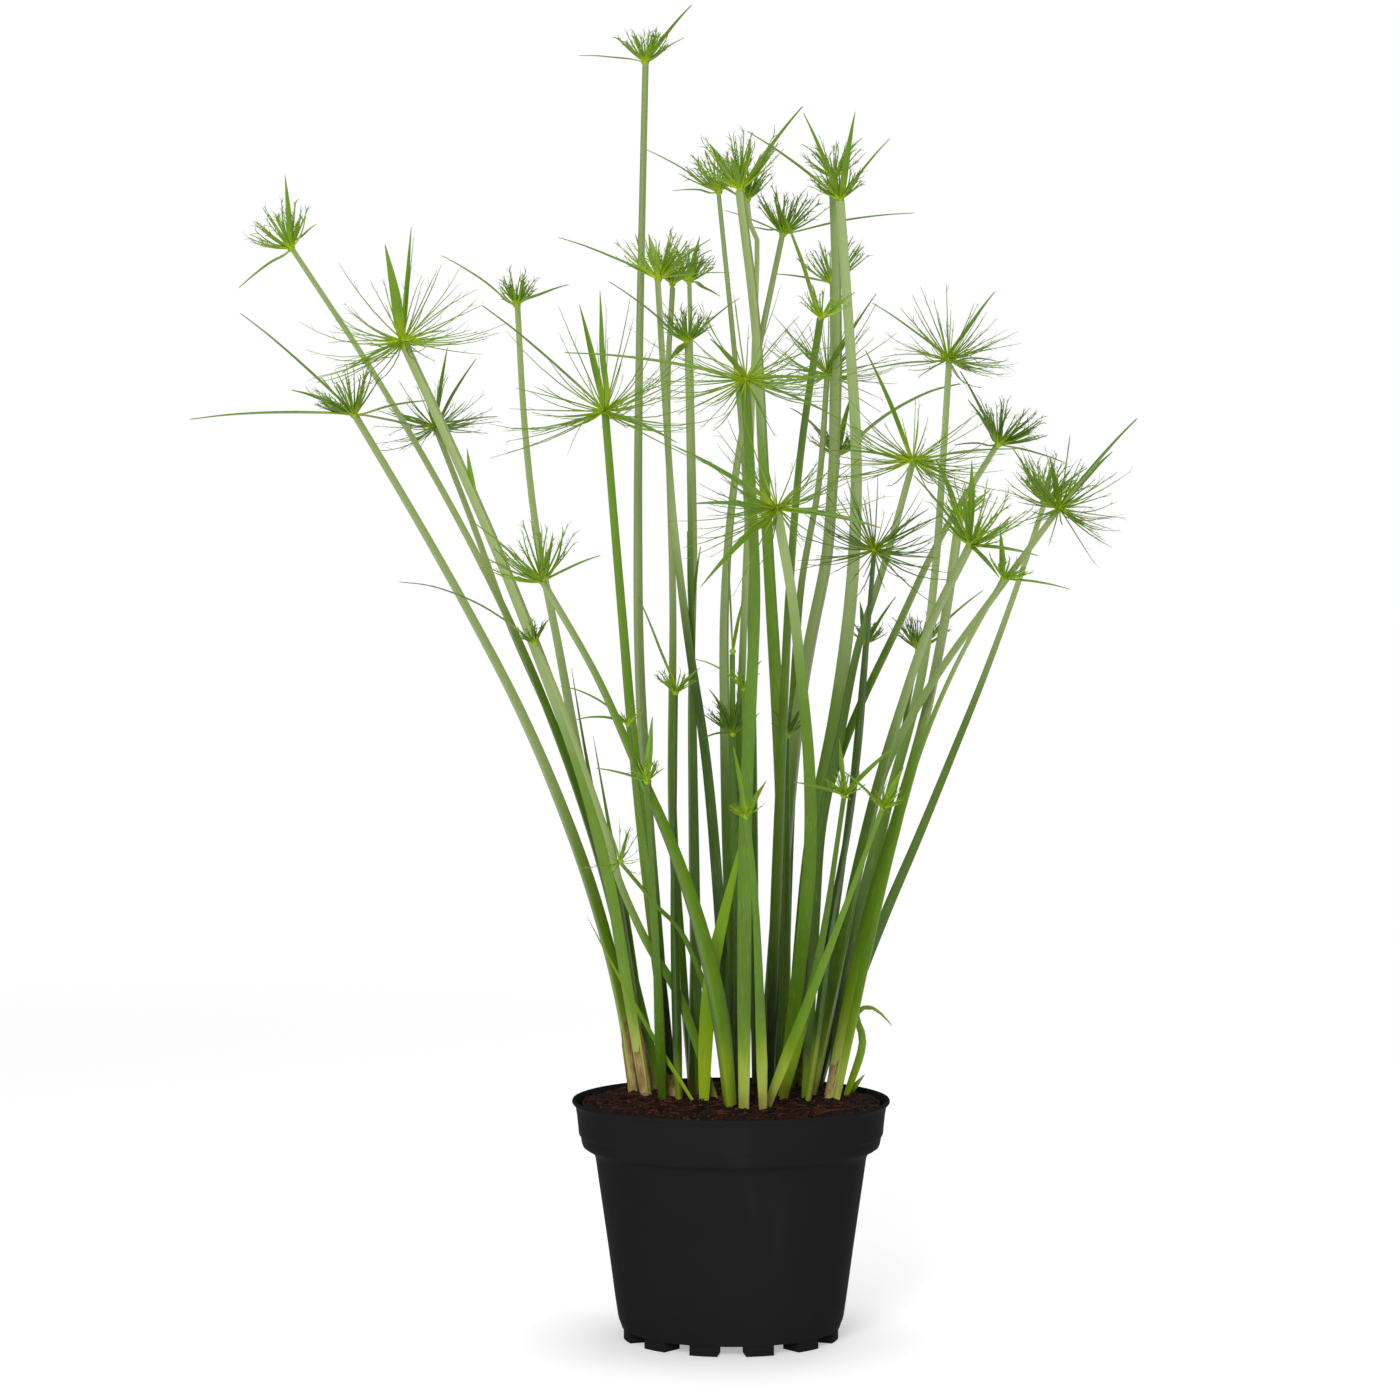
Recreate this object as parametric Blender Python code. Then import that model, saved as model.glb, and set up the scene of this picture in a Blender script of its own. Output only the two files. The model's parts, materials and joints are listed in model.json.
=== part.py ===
# A potted papyrus plant: a round nursery pot, its soil and a clump of culms.
# A tall culm is two pieces, its stem and the umbel that opens on it. A young culm is one.
# Every length below is in millimetres, and MM turns it into Blender's metres.

import math
import random

import bmesh
import bpy
import numpy as np
from mathutils import Quaternion, Vector
from mathutils.bvhtree import BVHTree

MM = 0.001
GAP = 0.3
UP = Vector((0, 0, 1))

# Pot: a tapered body, a wider collar and a lip, on twelve feet and a central pad.
RIM_RADIUS = 95.0
POT_HEIGHT = 144.5
WALL = 1.5
FOOT_COUNT = 12
FOOT_HEIGHT = 6.0
FOOT_RADIUS = 64.5
FOOT_INNER_RADIUS = 50.0
PAD_RADIUS = 22.0
BASE_TOP = 9.0
BODY_FOOT = (67.0, 11.0)
BODY_SHOULDER = (81.0, 108.0)
COLLAR_START = (88.4, 114.7)
DRAIN_RADIUS = 4.0
DRAIN_CIRCLE = 36.0
SEGMENTS = 48

# Soil: level under the culms and lower where it meets the pot.
SOIL_TOP = 142.0
SOIL_LEVEL_RADIUS = 80.0
SOIL_EDGE = 137.5
SOIL_SEGMENTS = 24

# The plant is laid out on a front view seen from EYE. A point keeps its place in that view
# at any depth, because it is moved along the line of sight.
EYE = Vector((-18.5, -2300.0, 460.0))

STEM_RINGS = 8
SHOOT_RINGS = 7
# A culm is this many times its foot's width where it is widest, this far up, and then eases off.
SWELL = 1.45
SWELL_AT = 0.2
SWELL_EASE = 1.5
HUB_TALL = 3.6
HUB_YOUNG = 2.6
BRACT_THICKNESS = 1.1
BRACT_LIFT = 0.03
RAY_WIDTH = 1.3
RAY_REACH = 0.8
# How far beyond its hub a bract and a ray have their first ring.
BRACT_NECK = 3.0
RAY_NECK = 3.5
LEAF_WIDTH = 4.2

# How the rays of an umbel open: their number, and their least and greatest angle from its axis.
OPENINGS = {
    "cup": (10, 14, 52),
    "spray": (12, 28, 100),
    "tuft": (6, 12, 66),
}

# Culms. foot is x and y on the soil, bends are x and z in the front view from the bottom up,
# head is x and z in that view and the depth, and width is at the top and at the base.
# A bract is its tip's x, y and z from the umbel's hub, and its width.
TALL = {
    "left_tip": dict(
        foot=(-47, 47), bends=((-84, 303), (-138, 440), (-206, 564)), head=(-259, 646, 60),
        width=(3.2, 4.6), opening="cup", ray=25,
        bracts=((-1, -25, 42, 3.4), (-31, -12, -25, 4.0), (12, 35, 18, 3.6)),
    ),
    "left_big": dict(
        foot=(-51, 26), bends=((-78, 303), (-129, 446), (-169, 539)), head=(-193, 591, -60),
        width=(5.6, 6.6), opening="spray", ray=52,
        bracts=((-9, -18, 54, 6.0), (3, 22, 68, 3.2), (-34, -22, -20, 4.2), (22, 38, 8, 4.0)),
    ),
    "left_low": dict(
        foot=(-59, 34), bends=((-73, 232), (-114, 348), (-165, 449)), head=(-222, 547, -20),
        width=(4.2, 5.6), opening="cup", ray=24,
        bracts=(
            (-99, 12, -2, 4.6), (-65, -20, 59, 4.2), (-52, 34, 17, 3.8),
            (45, -16, 8, 4.2), (46, 22, -9, 3.6),
        ),
    ),
    "left_back": dict(
        foot=(-47, 61), bends=((-80, 300), (-138, 440), (-158, 497)), head=(-175, 540, 120),
        width=(3.6, 4.8), opening="spray", ray=34,
        bracts=((39, 10, 7, 3.6), (7, 18, 51, 3.6), (27, -14, 42, 3.6), (-30, 30, 10, 3.6)),
    ),
    "left_inner": dict(
        foot=(-42, 35), bends=((-87, 327), (-97, 381), (-119, 500)), head=(-127, 612, 110),
        width=(3.6, 4.8), opening="cup", ray=17,
        bracts=((-48, 10, 32, 3.8), (33, -14, 12, 3.6), (5, 36, 16, 3.6)),
    ),
    "mid_left": dict(
        foot=(-35, 16), bends=((-56, 327), (-66, 440)), head=(-75, 549, -70),
        width=(4.4, 5.6), opening="spray", ray=58,
        bracts=((-70, -16, 60, 5.0), (-9, 26, 63, 4.2), (-2, -20, 68, 3.4), (42, -22, -19, 4.2)),
    ),
    "tallest": dict(
        foot=(-37, 55), bends=((-54, 381), (-55, 559)), head=(-51, 755, 60),
        width=(3.8, 5.0), opening="cup", ray=18,
        bracts=((27, -12, 34, 5.0), (-41, 12, 6, 2.8), (24, 20, 18, 2.8)),
    ),
    "centre_left": dict(
        foot=(1, -16), bends=((-12, 327), (-32, 470)), head=(-43, 627, -10),
        width=(3.6, 5.2), opening="cup", ray=28,
        bracts=((-59, -10, 24, 3.8), (-6, 24, 29, 5.0), (43, 14, 5, 3.0), (31, -22, 22, 3.2)),
    ),
    "centre_back": dict(
        foot=(16, 66), bends=((11, 476), (4, 568)), head=(-7, 679, 130),
        width=(2.8, 4.4), opening="cup", ray=24,
        bracts=((-48, 14, 29, 3.6), (-29, -18, -1, 2.8), (14, 34, 20, 3.6)),
    ),
    "centre_tall": dict(
        foot=(30, 40), bends=((32, 291), (23, 464), (17, 571), (13, 632)), head=(6, 680, -40),
        width=(5.4, 6.4), opening="cup", ray=33,
        bracts=((36, -14, 47, 6.0), (-18, 30, 30, 4.0), (-6, -34, 16, 4.0)),
    ),
    "right_tall": dict(
        foot=(37, 54), bends=((48, 291), (64, 381), (75, 500)), head=(65, 674, 50),
        width=(5.6, 7.0), opening="cup", ray=20,
        bracts=((-57, -16, 40, 4.2), (-22, 18, 55, 4.2), (8, -22, 51, 4.2), (31, 14, 39, 3.8)),
    ),
    "centre_right": dict(
        foot=(5, 54), bends=((-1, 291), (-2, 470), (18, 598)), head=(30, 654, 90),
        width=(3.4, 5.8), opening="cup", ray=27,
        bracts=((82, 10, 14, 3.8), (-22, -16, 3, 3.2), (-36, 14, 16, 3.2)),
    ),
    "front_big": dict(
        foot=(8, -38), bends=((10, 333), (15, 440)), head=(9, 568, -150),
        width=(5.4, 6.4), opening="spray", ray=57,
        bracts=((-101, -10, 14, 4.6), (49, -26, -2, 4.6), (55, 18, -23, 4.4), (-20, -40, 20, 4.0)),
    ),
    "right_mid": dict(
        foot=(27, 64), bends=((41, 440), (52, 506)), head=(57, 571, 90),
        width=(3.4, 4.6), opening="spray", ray=42,
        bracts=((31, 14, 51, 4.2), (-26, 20, 28, 3.6), (10, -30, 22, 3.6)),
    ),
    "right_wide": dict(
        foot=(60, 22), bends=((71, 232), (103, 357), (115, 405), (122, 470)), head=(129, 580, 50),
        width=(3.8, 5.4), opening="spray", ray=40,
        bracts=((-46, 14, 35, 4.2), (27, -16, 40, 4.2), (-64, -18, -11, 3.6), (31, 24, 0, 3.6)),
    ),
    "right_front": dict(
        foot=(44, 9), bends=((53, 303), (64, 357), (75, 412), (88, 452)), head=(107, 520, -60),
        width=(3.8, 5.2), opening="spray", ray=50,
        bracts=((59, -14, 6, 4.2), (-29, 16, 65, 4.6), (-48, -20, 5, 4.2)),
    ),
    "right_outer": dict(
        foot=(44, 66), bends=((48, 280), (68, 354), (94, 412), (112, 450), (140, 507)), head=(157, 530, 90),
        width=(3.8, 5.2), opening="cup", ray=28,
        bracts=((-23, 14, 46, 5.0), (-18, -18, 27, 4.0), (42, 12, -11, 4.0), (-29, -14, -1, 3.6)),
    ),
    "far_right": dict(
        foot=(63, 42), bends=((74, 208), (119, 318), (159, 418)), head=(185, 495, -20),
        width=(3.2, 4.8), opening="cup", ray=24,
        bracts=((-20, -12, 32, 4.0), (24, -16, 20, 4.0), (8, 32, 24, 3.6)),
    ),
    "far_right_low": dict(
        foot=(46, 34), bends=((82, 303), (96, 350), (110, 376), (143, 424)), head=(193, 492, -90),
        width=(3.4, 4.8), opening="spray", ray=38,
        bracts=((43, -12, 51, 6.0), (32, 16, 33, 4.0), (-8, -30, 28, 4.0)),
    ),
    "right_low": dict(
        foot=(50, 23), bends=((75, 275), (92, 345), (104, 383), (113, 412)), head=(141, 470, -140),
        width=(4.6, 5.4), opening="cup", ray=34,
        bracts=((-33, -14, 39, 4.6), (37, -12, -6, 4.2), (14, -26, -18, 4.0), (2, 20, 48, 4.0)),
    ),
    "front_right": dict(
        foot=(32, 14), bends=((48, 303), (37, 440)), head=(28, 492, -190),
        width=(5.2, 6.0), opening="spray", ray=47,
        bracts=((-48, -14, 2, 4.6), (-58, 12, 35, 4.6), (56, -16, -11, 4.6), (-42, -22, -43, 4.0)),
    ),
}

YOUNG = {
    "centre_thin": dict(
        foot=(-21, 40), bends=((-24, 381), (-22, 464)), head=(-25, 627, 140),
        width=(2.6, 3.8), opening="cup", ray=20,
        bracts=((7, -14, 28, 3.2), (20, 16, -8, 3.0), (-22, 14, 16, 3.0)),
    ),
    "centre_inner": dict(
        foot=(-19, 22), bends=((-23, 416),), head=(-26, 591, -30),
        width=(2.6, 3.8), opening="cup", ray=18,
        bracts=((-46, -10, 35, 3.6), (-11, -14, -12, 5.0), (31, 12, 27, 2.8)),
    ),
    "right_back": dict(
        foot=(22, 77), bends=((37, 345), (50, 428), (58, 475)), head=(60, 626, 170),
        width=(2.8, 4.2), opening="cup", ray=26,
        bracts=((-38, 10, 7, 3.6), (20, -12, 23, 3.6), (14, 16, 32, 3.2)),
    ),
    "right_inner": dict(
        foot=(24, 22), bends=((32, 381), (40, 512)), head=(53, 605, -110),
        width=(3.8, 4.8), opening="tuft", ray=15,
        bracts=((-22, -14, 59, 6.0), (20, 12, 16, 3.2)),
    ),
    "right_fresh": dict(
        foot=(60, 12), bends=((71, 196), (85, 259), (99, 308), (113, 358), (125, 412)), head=(136, 487, -60),
        width=(5.0, 6.2), opening="tuft", ray=14,
        bracts=((-15, -12, 34, 6.0), (18, 14, 16, 4.0)),
    ),
    "far_right_fresh": dict(
        foot=(64, 1), bends=((81, 225), (98, 297), (109, 339), (126, 383), (138, 409)), head=(161, 451, -98),
        width=(2.6, 3.8), opening="tuft", ray=13,
        bracts=((37, -10, -6, 3.6), (-3, -14, 28, 4.0)),
    ),
    "thin_dark": dict(
        foot=(46, -5), bends=((66, 291), (73, 316), (79, 391)), head=(85, 468, -170),
        width=(2.4, 3.4), opening="spray", ray=42,
        bracts=((-24, -10, 8, 3.0), (31, 12, 23, 2.8), (40, -12, 20, 2.8)),
    ),
    "left_slanting": dict(
        foot=(-1, -27), bends=((-4, 164), (-11, 216), (-39, 303), (-75, 381), (-89, 415)),
        head=(-111, 449, -130),
        width=(3.6, 7.0), opening="cup", ray=32,
        bracts=((-39, -10, 34, 4.0), (33, -14, 15, 4.0), (-4, 24, 24, 3.6)),
    ),
    "centre_short": dict(
        foot=(-31, 1), bends=((-34, 262),), head=(-33, 383, -60),
        width=(2.6, 3.8), opening="tuft", ray=12,
        bracts=((-23, -10, 56, 4.2), (14, 12, 14, 3.0)),
    ),
    "right_short": dict(
        foot=(48, 50), bends=((68, 291),), head=(80, 412, 60),
        width=(2.6, 3.8), opening="tuft", ray=13,
        bracts=((-14, -10, 26, 3.6), (19, 10, 29, 3.6)),
    ),
    "right_back_low": dict(
        foot=(55, 55), bends=((89, 291),), head=(111, 409, 112),
        width=(2.6, 3.8), opening="cup", ray=22,
        bracts=((40, -10, 37, 4.0), (-16, 12, 20, 3.6)),
    ),
    "right_small": dict(
        foot=(31, 0), bends=((53, 232),), head=(67, 322, -100),
        width=(2.6, 4.2), opening="tuft", ray=11,
        bracts=((-3, -10, 33, 4.2), (34, 12, 29, 3.6), (-29, -8, 8, 3.6)),
    ),
    "front_leaning": dict(
        foot=(22, -27), bends=((59, 232),), head=(90, 315, -140),
        width=(2.6, 4.6), opening="tuft", ray=10,
        bracts=((-23, -10, 21, 4.2), (12, 10, 22, 3.6)),
    ),
    "front_short": dict(
        foot=(18, -39), bends=((14, 262),), head=(9, 309, -105),
        width=(3.4, 4.6), opening="tuft", ray=9,
        bracts=((-5, -8, 40, 7.0), (12, 10, 20, 4.0)),
    ),
    "left_short": dict(
        foot=(-41, 4), bends=((-45, 244),), head=(-50, 330, -90),
        width=(2.6, 4.0), opening="tuft", ray=9,
        bracts=((-29, -8, 8, 3.6), (3, 8, 37, 4.2)),
    ),
}

# The curled leaf rises from its foot and folds over to the right, as x and z in the front view.
LEAF_FOOT = (68, 15)
LEAF_DEPTH = 8.0
LEAF_VIEW = ((76, 169), (77, 181), (73, 193), (80, 198), (88, 194), (95, 186))

# Turns and bows that are tried, in this order, until a piece is clear of those in place.
BOWS = (0, 4, -4, 8, -8, 12, -12, 16, -16, 20, -20, 25, -25, 30, -30)
TURNS = (0, 7, -7, 14, -14, 21, -21, 30, -30, 40, -40)

COLOURS = {
    "pot": ((0.018, 0.018, 0.018, 1), 0.42),
    "soil": ((0.035, 0.012, 0.008, 1), 0.95),
    "stem": ((0.085, 0.165, 0.022, 1), 0.45),
    "umbel": ((0.105, 0.215, 0.028, 1), 0.5),
    "shoot": ((0.155, 0.275, 0.035, 1), 0.48),
    "leaf": ((0.12, 0.21, 0.03, 1), 0.5),
}


class Room:
    """The space that the plant has taken so far, as rods with a radius."""

    def __init__(self):
        self.starts = np.zeros((0, 3))
        self.ends = np.zeros((0, 3))
        self.radii = np.zeros(0)
        self.owners = np.zeros(0, int)

    def take(self, points, radii, owner):
        points = np.array([tuple(point) for point in points])
        radii = np.array(radii)
        self.starts = np.vstack((self.starts, points[:-1]))
        self.ends = np.vstack((self.ends, points[1:]))
        self.radii = np.append(self.radii, np.maximum(radii[:-1], radii[1:]))
        self.owners = np.append(self.owners, np.full(len(points) - 1, owner))

    def clear(self, points, radii, owner=-1):
        """True if rods along the points keep the gap from every piece but the owner."""
        others = self.owners != owner
        if not others.any():
            return True
        points = np.array([tuple(point) for point in points])
        radii = np.maximum(radii[:-1], radii[1:])
        apart = rods_apart(points[:-1], points[1:], self.starts[others], self.ends[others])
        needed = np.array(radii)[:, None] + self.radii[others][None, :] + GAP
        return bool((apart > needed).all())


def rods_apart(first, first_end, second, second_end):
    """The least distance from each of the first rods to each of the second."""
    tiny = 1e-9
    along = (first_end - first)[:, None, :]
    across = (second_end - second)[None, :, :]
    offset = first[:, None, :] - second[None, :, :]
    a = (along * along).sum(-1) + tiny
    b = (along * across).sum(-1)
    c = (across * across).sum(-1) + tiny
    d = (along * offset).sum(-1)
    e = (across * offset).sum(-1)
    cross = a * c - b * b
    s = np.where(cross > tiny, (b * e - c * d) / np.maximum(cross, tiny), 0)
    t = np.clip((b * np.clip(s, 0, 1) + e) / c, 0, 1)
    s = np.clip((b * t - d) / a, 0, 1)
    return np.linalg.norm(offset + s[..., None] * along - t[..., None] * across, axis=-1)


def at_depth(x, z, depth):
    """The point at this depth that the front view shows at x and z."""
    scale = 1 + depth / -EYE.y
    return Vector((EYE.x + (x - EYE.x) * scale, depth, EYE.z + (z - EYE.z) * scale))


def in_view(point):
    """Where the front view shows the point."""
    scale = 1 + point.y / -EYE.y
    return (EYE.x + (point.x - EYE.x) / scale, EYE.z + (point.z - EYE.z) / scale)


def smooth_x(knots, z):
    """x at height z on a smooth line through the knots, which rise."""
    heights = [knot[1] for knot in knots]
    slopes = []
    for i in range(len(knots)):
        low = knots[max(i - 1, 0)]
        high = knots[min(i + 1, len(knots) - 1)]
        slopes.append((high[0] - low[0]) / (high[1] - low[1]))
    i = min(max(int(np.searchsorted(heights, z)) - 1, 0), len(knots) - 2)
    span = heights[i + 1] - heights[i]
    t = (z - heights[i]) / span
    return (
        (2 * t**3 - 3 * t**2 + 1) * knots[i][0]
        + (t**3 - 2 * t**2 + t) * span * slopes[i]
        + (3 * t**2 - 2 * t**3) * knots[i + 1][0]
        + (t**3 - t**2) * span * slopes[i + 1]
    )


def stem_line(culm, rings, bow):
    """Points from the soil to the head, pushed by the bow towards the back at half height."""
    foot = Vector((*culm["foot"], SOIL_TOP + GAP))
    x, z, depth = culm["head"]
    knots = [in_view(foot), *culm["bends"], (x, z)]
    line = []
    for i in range(rings):
        t = i / (rings - 1)
        height = knots[0][1] + (z - knots[0][1]) * t
        away = foot.y + (depth - foot.y) * t**1.3 + bow * math.sin(math.pi * t)
        line.append(at_depth(smooth_x(knots, height), height, away))
    return line


def stem_radii(culm, rings):
    """Half the width at each ring: a culm swells above its foot and narrows to its head."""
    top, base = culm["width"]
    swollen = SWELL * base
    radii = []
    for i in range(rings):
        t = i / (rings - 1)
        if t < SWELL_AT:
            width = base + (swollen - base) * t / SWELL_AT
        else:
            width = top + (swollen - top) * ((1 - t) / (1 - SWELL_AT)) ** SWELL_EASE
        radii.append(width / 2)
    return radii


def three_cornered(radii):
    """The widths and thicknesses of triangles whose corners lie on these radii."""
    return [radius * math.sqrt(3) for radius in radii], [radius * 1.5 for radius in radii]


def directions(line):
    """The line's direction at each of its points."""
    ends = range(len(line))
    return [(line[min(i + 1, len(line) - 1)] - line[max(i - 1, 0)]).normalized() for i in ends]


def new_object(name, bm, sort):
    """Makes the object, in metres, and gives it a material of its own."""
    bmesh.ops.scale(bm, vec=(MM, MM, MM), verts=bm.verts)
    bmesh.ops.triangulate(bm, faces=bm.faces)
    mesh = bpy.data.meshes.new(name)
    bm.to_mesh(mesh)
    bm.free()
    mesh.shade_smooth()
    mesh.set_sharp_from_angle(angle=math.radians(40))
    thing = bpy.data.objects.new(name, mesh)
    bpy.context.scene.collection.objects.link(thing)
    colour, roughness = COLOURS[sort]
    material = bpy.data.materials.new(name)
    material.use_nodes = True
    shader = material.node_tree.nodes["Principled BSDF"]
    shader.inputs["Base Color"].default_value = colour
    shader.inputs["Roughness"].default_value = roughness
    mesh.materials.append(material)
    return thing


def turned(profile, segments):
    """A closed shape turned about Z from (radius, z) pairs that start and end on the axis."""
    bm = bmesh.new()
    rings = []
    for radius, z in profile[1:-1]:
        ring = []
        for i in range(segments):
            turn = 2 * math.pi * i / segments
            ring.append(bm.verts.new((radius * math.cos(turn), radius * math.sin(turn), z)))
        rings.append(ring)
    start = bm.verts.new((0, 0, profile[0][1]))
    end = bm.verts.new((0, 0, profile[-1][1]))
    for i in range(segments):
        j = (i + 1) % segments
        bm.faces.new((start, rings[0][j], rings[0][i]))
        bm.faces.new((end, rings[-1][i], rings[-1][j]))
        for low, high in zip(rings, rings[1:]):
            bm.faces.new((low[i], low[j], high[j], high[i]))
    bm.normal_update()
    return bm


def add_feet(bm):
    """Extrudes the pad and every other pair of base sectors down to the ground."""
    step = 2 * math.pi / FOOT_COUNT
    chosen = []
    for face in bm.faces:
        centre = face.calc_center_median()
        if face.normal.z > -0.99 or abs(centre.z - FOOT_HEIGHT) > GAP:
            continue
        reach = math.hypot(centre.x, centre.y)
        turn = (math.atan2(centre.y, centre.x) + math.pi / 2) % step
        on_foot = step / 4 < turn < step * 3 / 4
        if reach < PAD_RADIUS or (reach > FOOT_INNER_RADIUS and on_foot):
            chosen.append(face)
    grown = bmesh.ops.extrude_face_region(bm, geom=chosen)["geom"]
    verts = [item for item in grown if isinstance(item, bmesh.types.BMVert)]
    bmesh.ops.delete(bm, geom=chosen, context="FACES_ONLY")
    for vert in verts:
        vert.co.z = 0
        reach = math.hypot(vert.co.x, vert.co.y)
        if reach > FOOT_RADIUS:
            vert.co.x *= FOOT_RADIUS / reach
            vert.co.y *= FOOT_RADIUS / reach


def make_pot():
    """The pot: turned profile, feet, and drain holes cut through its base."""
    shoulder_radius, shoulder_z = BODY_SHOULDER
    collar_radius, collar_z = COLLAR_START
    profile = (
        (0, FOOT_HEIGHT),
        (PAD_RADIUS, FOOT_HEIGHT),
        (FOOT_INNER_RADIUS, FOOT_HEIGHT),
        (FOOT_RADIUS + 0.8, FOOT_HEIGHT),
        BODY_FOOT,
        BODY_SHOULDER,
        (shoulder_radius + 2.0, shoulder_z + 3.0),
        COLLAR_START,
        (collar_radius + 1.2, collar_z + 3.3),
        (RIM_RADIUS - 2.1, POT_HEIGHT - 6.0),
        (RIM_RADIUS - 0.6, POT_HEIGHT - 3.5),
        (RIM_RADIUS, POT_HEIGHT - 1.5),
        (RIM_RADIUS - 0.8, POT_HEIGHT),
        (RIM_RADIUS - 2.4, POT_HEIGHT),
        (collar_radius + 1.2 - WALL, collar_z + 3.8),
        (collar_radius - WALL, collar_z + 1.5),
        (shoulder_radius - WALL, shoulder_z + 3.5),
        (BODY_FOOT[0] - WALL, BASE_TOP),
        (0, BASE_TOP),
    )
    bm = turned(profile, SEGMENTS)
    add_feet(bm)
    pot = new_object("pot", bm, "pot")
    cutter = drain_cutter()
    cut = pot.modifiers.new("Drain holes", "BOOLEAN")
    cut.operation = "DIFFERENCE"
    cut.solver = "EXACT"
    cut.object = cutter
    return pot


def drain_cutter():
    """Six short rods, one under every second notch."""
    bm = bmesh.new()
    for i in range(FOOT_COUNT // 2):
        turn = 4 * math.pi * i / FOOT_COUNT - math.pi / 2
        made = bmesh.ops.create_cone(
            bm, cap_ends=True, segments=10, radius1=DRAIN_RADIUS, radius2=DRAIN_RADIUS, depth=8
        )
        middle = (FOOT_HEIGHT + BASE_TOP) / 2
        place = Vector((DRAIN_CIRCLE * math.cos(turn), DRAIN_CIRCLE * math.sin(turn), middle))
        bmesh.ops.translate(bm, vec=place, verts=made["verts"])
    cutter = new_object("drain_cutter", bm, "pot")
    cutter.hide_render = True
    cutter.display_type = "WIRE"
    return cutter


def make_soil():
    """The soil fills the pot up to just under the rim."""
    shoulder_radius, shoulder_z = BODY_SHOULDER
    collar_radius, collar_z = COLLAR_START
    inset = WALL + 2 * GAP
    profile = (
        (0, BASE_TOP + GAP),
        (BODY_FOOT[0] - inset, BASE_TOP + GAP),
        (shoulder_radius - inset, shoulder_z + 3.5),
        (collar_radius - inset - 1.0, collar_z + 2.2),
        (RIM_RADIUS - 5.0, SOIL_EDGE),
        (SOIL_LEVEL_RADIUS, SOIL_TOP),
        (0, SOIL_TOP),
    )
    return new_object("soil", turned(profile, SOIL_SEGMENTS), "soil")


def make_stem(name, line, radii):
    """A stem of rounded triangular section with flat ends."""
    bm = bmesh.new()
    rings = []
    for i, (point, way, radius) in enumerate(zip(line, directions(line), radii)):
        if i == 0:
            way = UP
        side = way.cross(Vector((0, -1, 0))).normalized()
        front = way.cross(side)
        ring = []
        for k in range(6):
            turn = math.pi * k / 3
            reach = radius * (1.0 if k % 2 else 0.86)
            ring.append(bm.verts.new(point + reach * (side * math.cos(turn) + front * math.sin(turn))))
        rings.append(ring)
    for low, high in zip(rings, rings[1:]):
        for k in range(6):
            bm.faces.new((low[k], low[(k + 1) % 6], high[(k + 1) % 6], high[k]))
    bm.faces.new(rings[0][::-1])
    bm.faces.new(rings[-1])
    return new_object(name, bm, "stem")


def new_hub(centre, radius, axis):
    """A ball of 20 faces with one of them square to the stem below."""
    bm = bmesh.new()
    bmesh.ops.create_icosphere(bm, subdivisions=1, radius=radius)
    bm.normal_update()
    lowest = max(bm.faces, key=lambda face: face.normal.dot(-axis))
    turn = lowest.normal.rotation_difference(-axis)
    bmesh.ops.rotate(bm, cent=(0, 0, 0), matrix=turn.to_matrix(), verts=bm.verts)
    bmesh.ops.translate(bm, vec=centre, verts=bm.verts)
    bm.normal_update()
    return bm


def grow(bm, face, line, widths, thicknesses, upper, pointed=True):
    """Grows a keeled limb of three-cornered rings from a face, to a point or to a flat end.

    Returns the corners that it adds.
    """
    ring = list(face.verts)
    bm.faces.remove(face)
    added = []
    ways = directions([sum((vert.co for vert in ring), Vector()) / 3, *line])[1:]
    count = len(line) - 1 if pointed else len(line)
    if not pointed:
        ways[-1] = -UP
    for point, way, width, thickness in zip(line[:count], ways, widths, thicknesses):
        side = upper.cross(way).normalized()
        top = way.cross(side)
        corners = [
            point + side * width / 2 + top * thickness / 2,
            point - side * width / 2 + top * thickness / 2,
            point - top * thickness / 2,
        ]
        order = min(
            range(3),
            key=lambda k: sum((ring[i].co - corners[(i + k) % 3]).length for i in range(3)),
        )
        following = [bm.verts.new(corners[(i + order) % 3]) for i in range(3)]
        for i in range(3):
            j = (i + 1) % 3
            bm.faces.new((ring[i], ring[j], following[j], following[i]))
        ring = following
        added += ring
    if pointed:
        tip = bm.verts.new(line[-1])
        added.append(tip)
        for i in range(3):
            bm.faces.new((ring[i], ring[(i + 1) % 3], tip))
    else:
        bm.faces.new(ring)
    bm.normal_update()
    return added


def grow_apart(bm, face, line, widths, thicknesses, upper):
    """Grows a limb, and takes it away again if it crosses one that is there."""
    base = list(face.verts)
    added = grow(bm, face, line, widths, thicknesses, upper)
    tree = BVHTree.FromBMesh(bm)
    if not tree.overlap(tree):
        return True
    bmesh.ops.delete(bm, geom=added, context="VERTS")
    bm.faces.new(base)
    bm.normal_update()
    return False


def free_face(bm, hub_centre, hub_radius, way, axis):
    """The hub's face that looks the way a limb will grow, if one is left."""
    best = None
    for face in bm.faces:
        centre = face.calc_center_median()
        if (centre - hub_centre).length > hub_radius or len(face.verts) != 3:
            continue
        if any((vert.co - hub_centre).length > hub_radius * 1.01 for vert in face.verts):
            continue
        if face.normal.dot(-axis) > 0.9:
            continue
        match = face.normal.dot(way)
        if match > 0.55 and (best is None or match > best[0]):
            best = (match, face)
    return best and best[1]


def arched(start, chord, lift, steps):
    """Points along a chord from start, raised between its ends."""
    return [start + chord * t + UP * lift * 4 * t * (1 - t) for t in steps]


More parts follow.
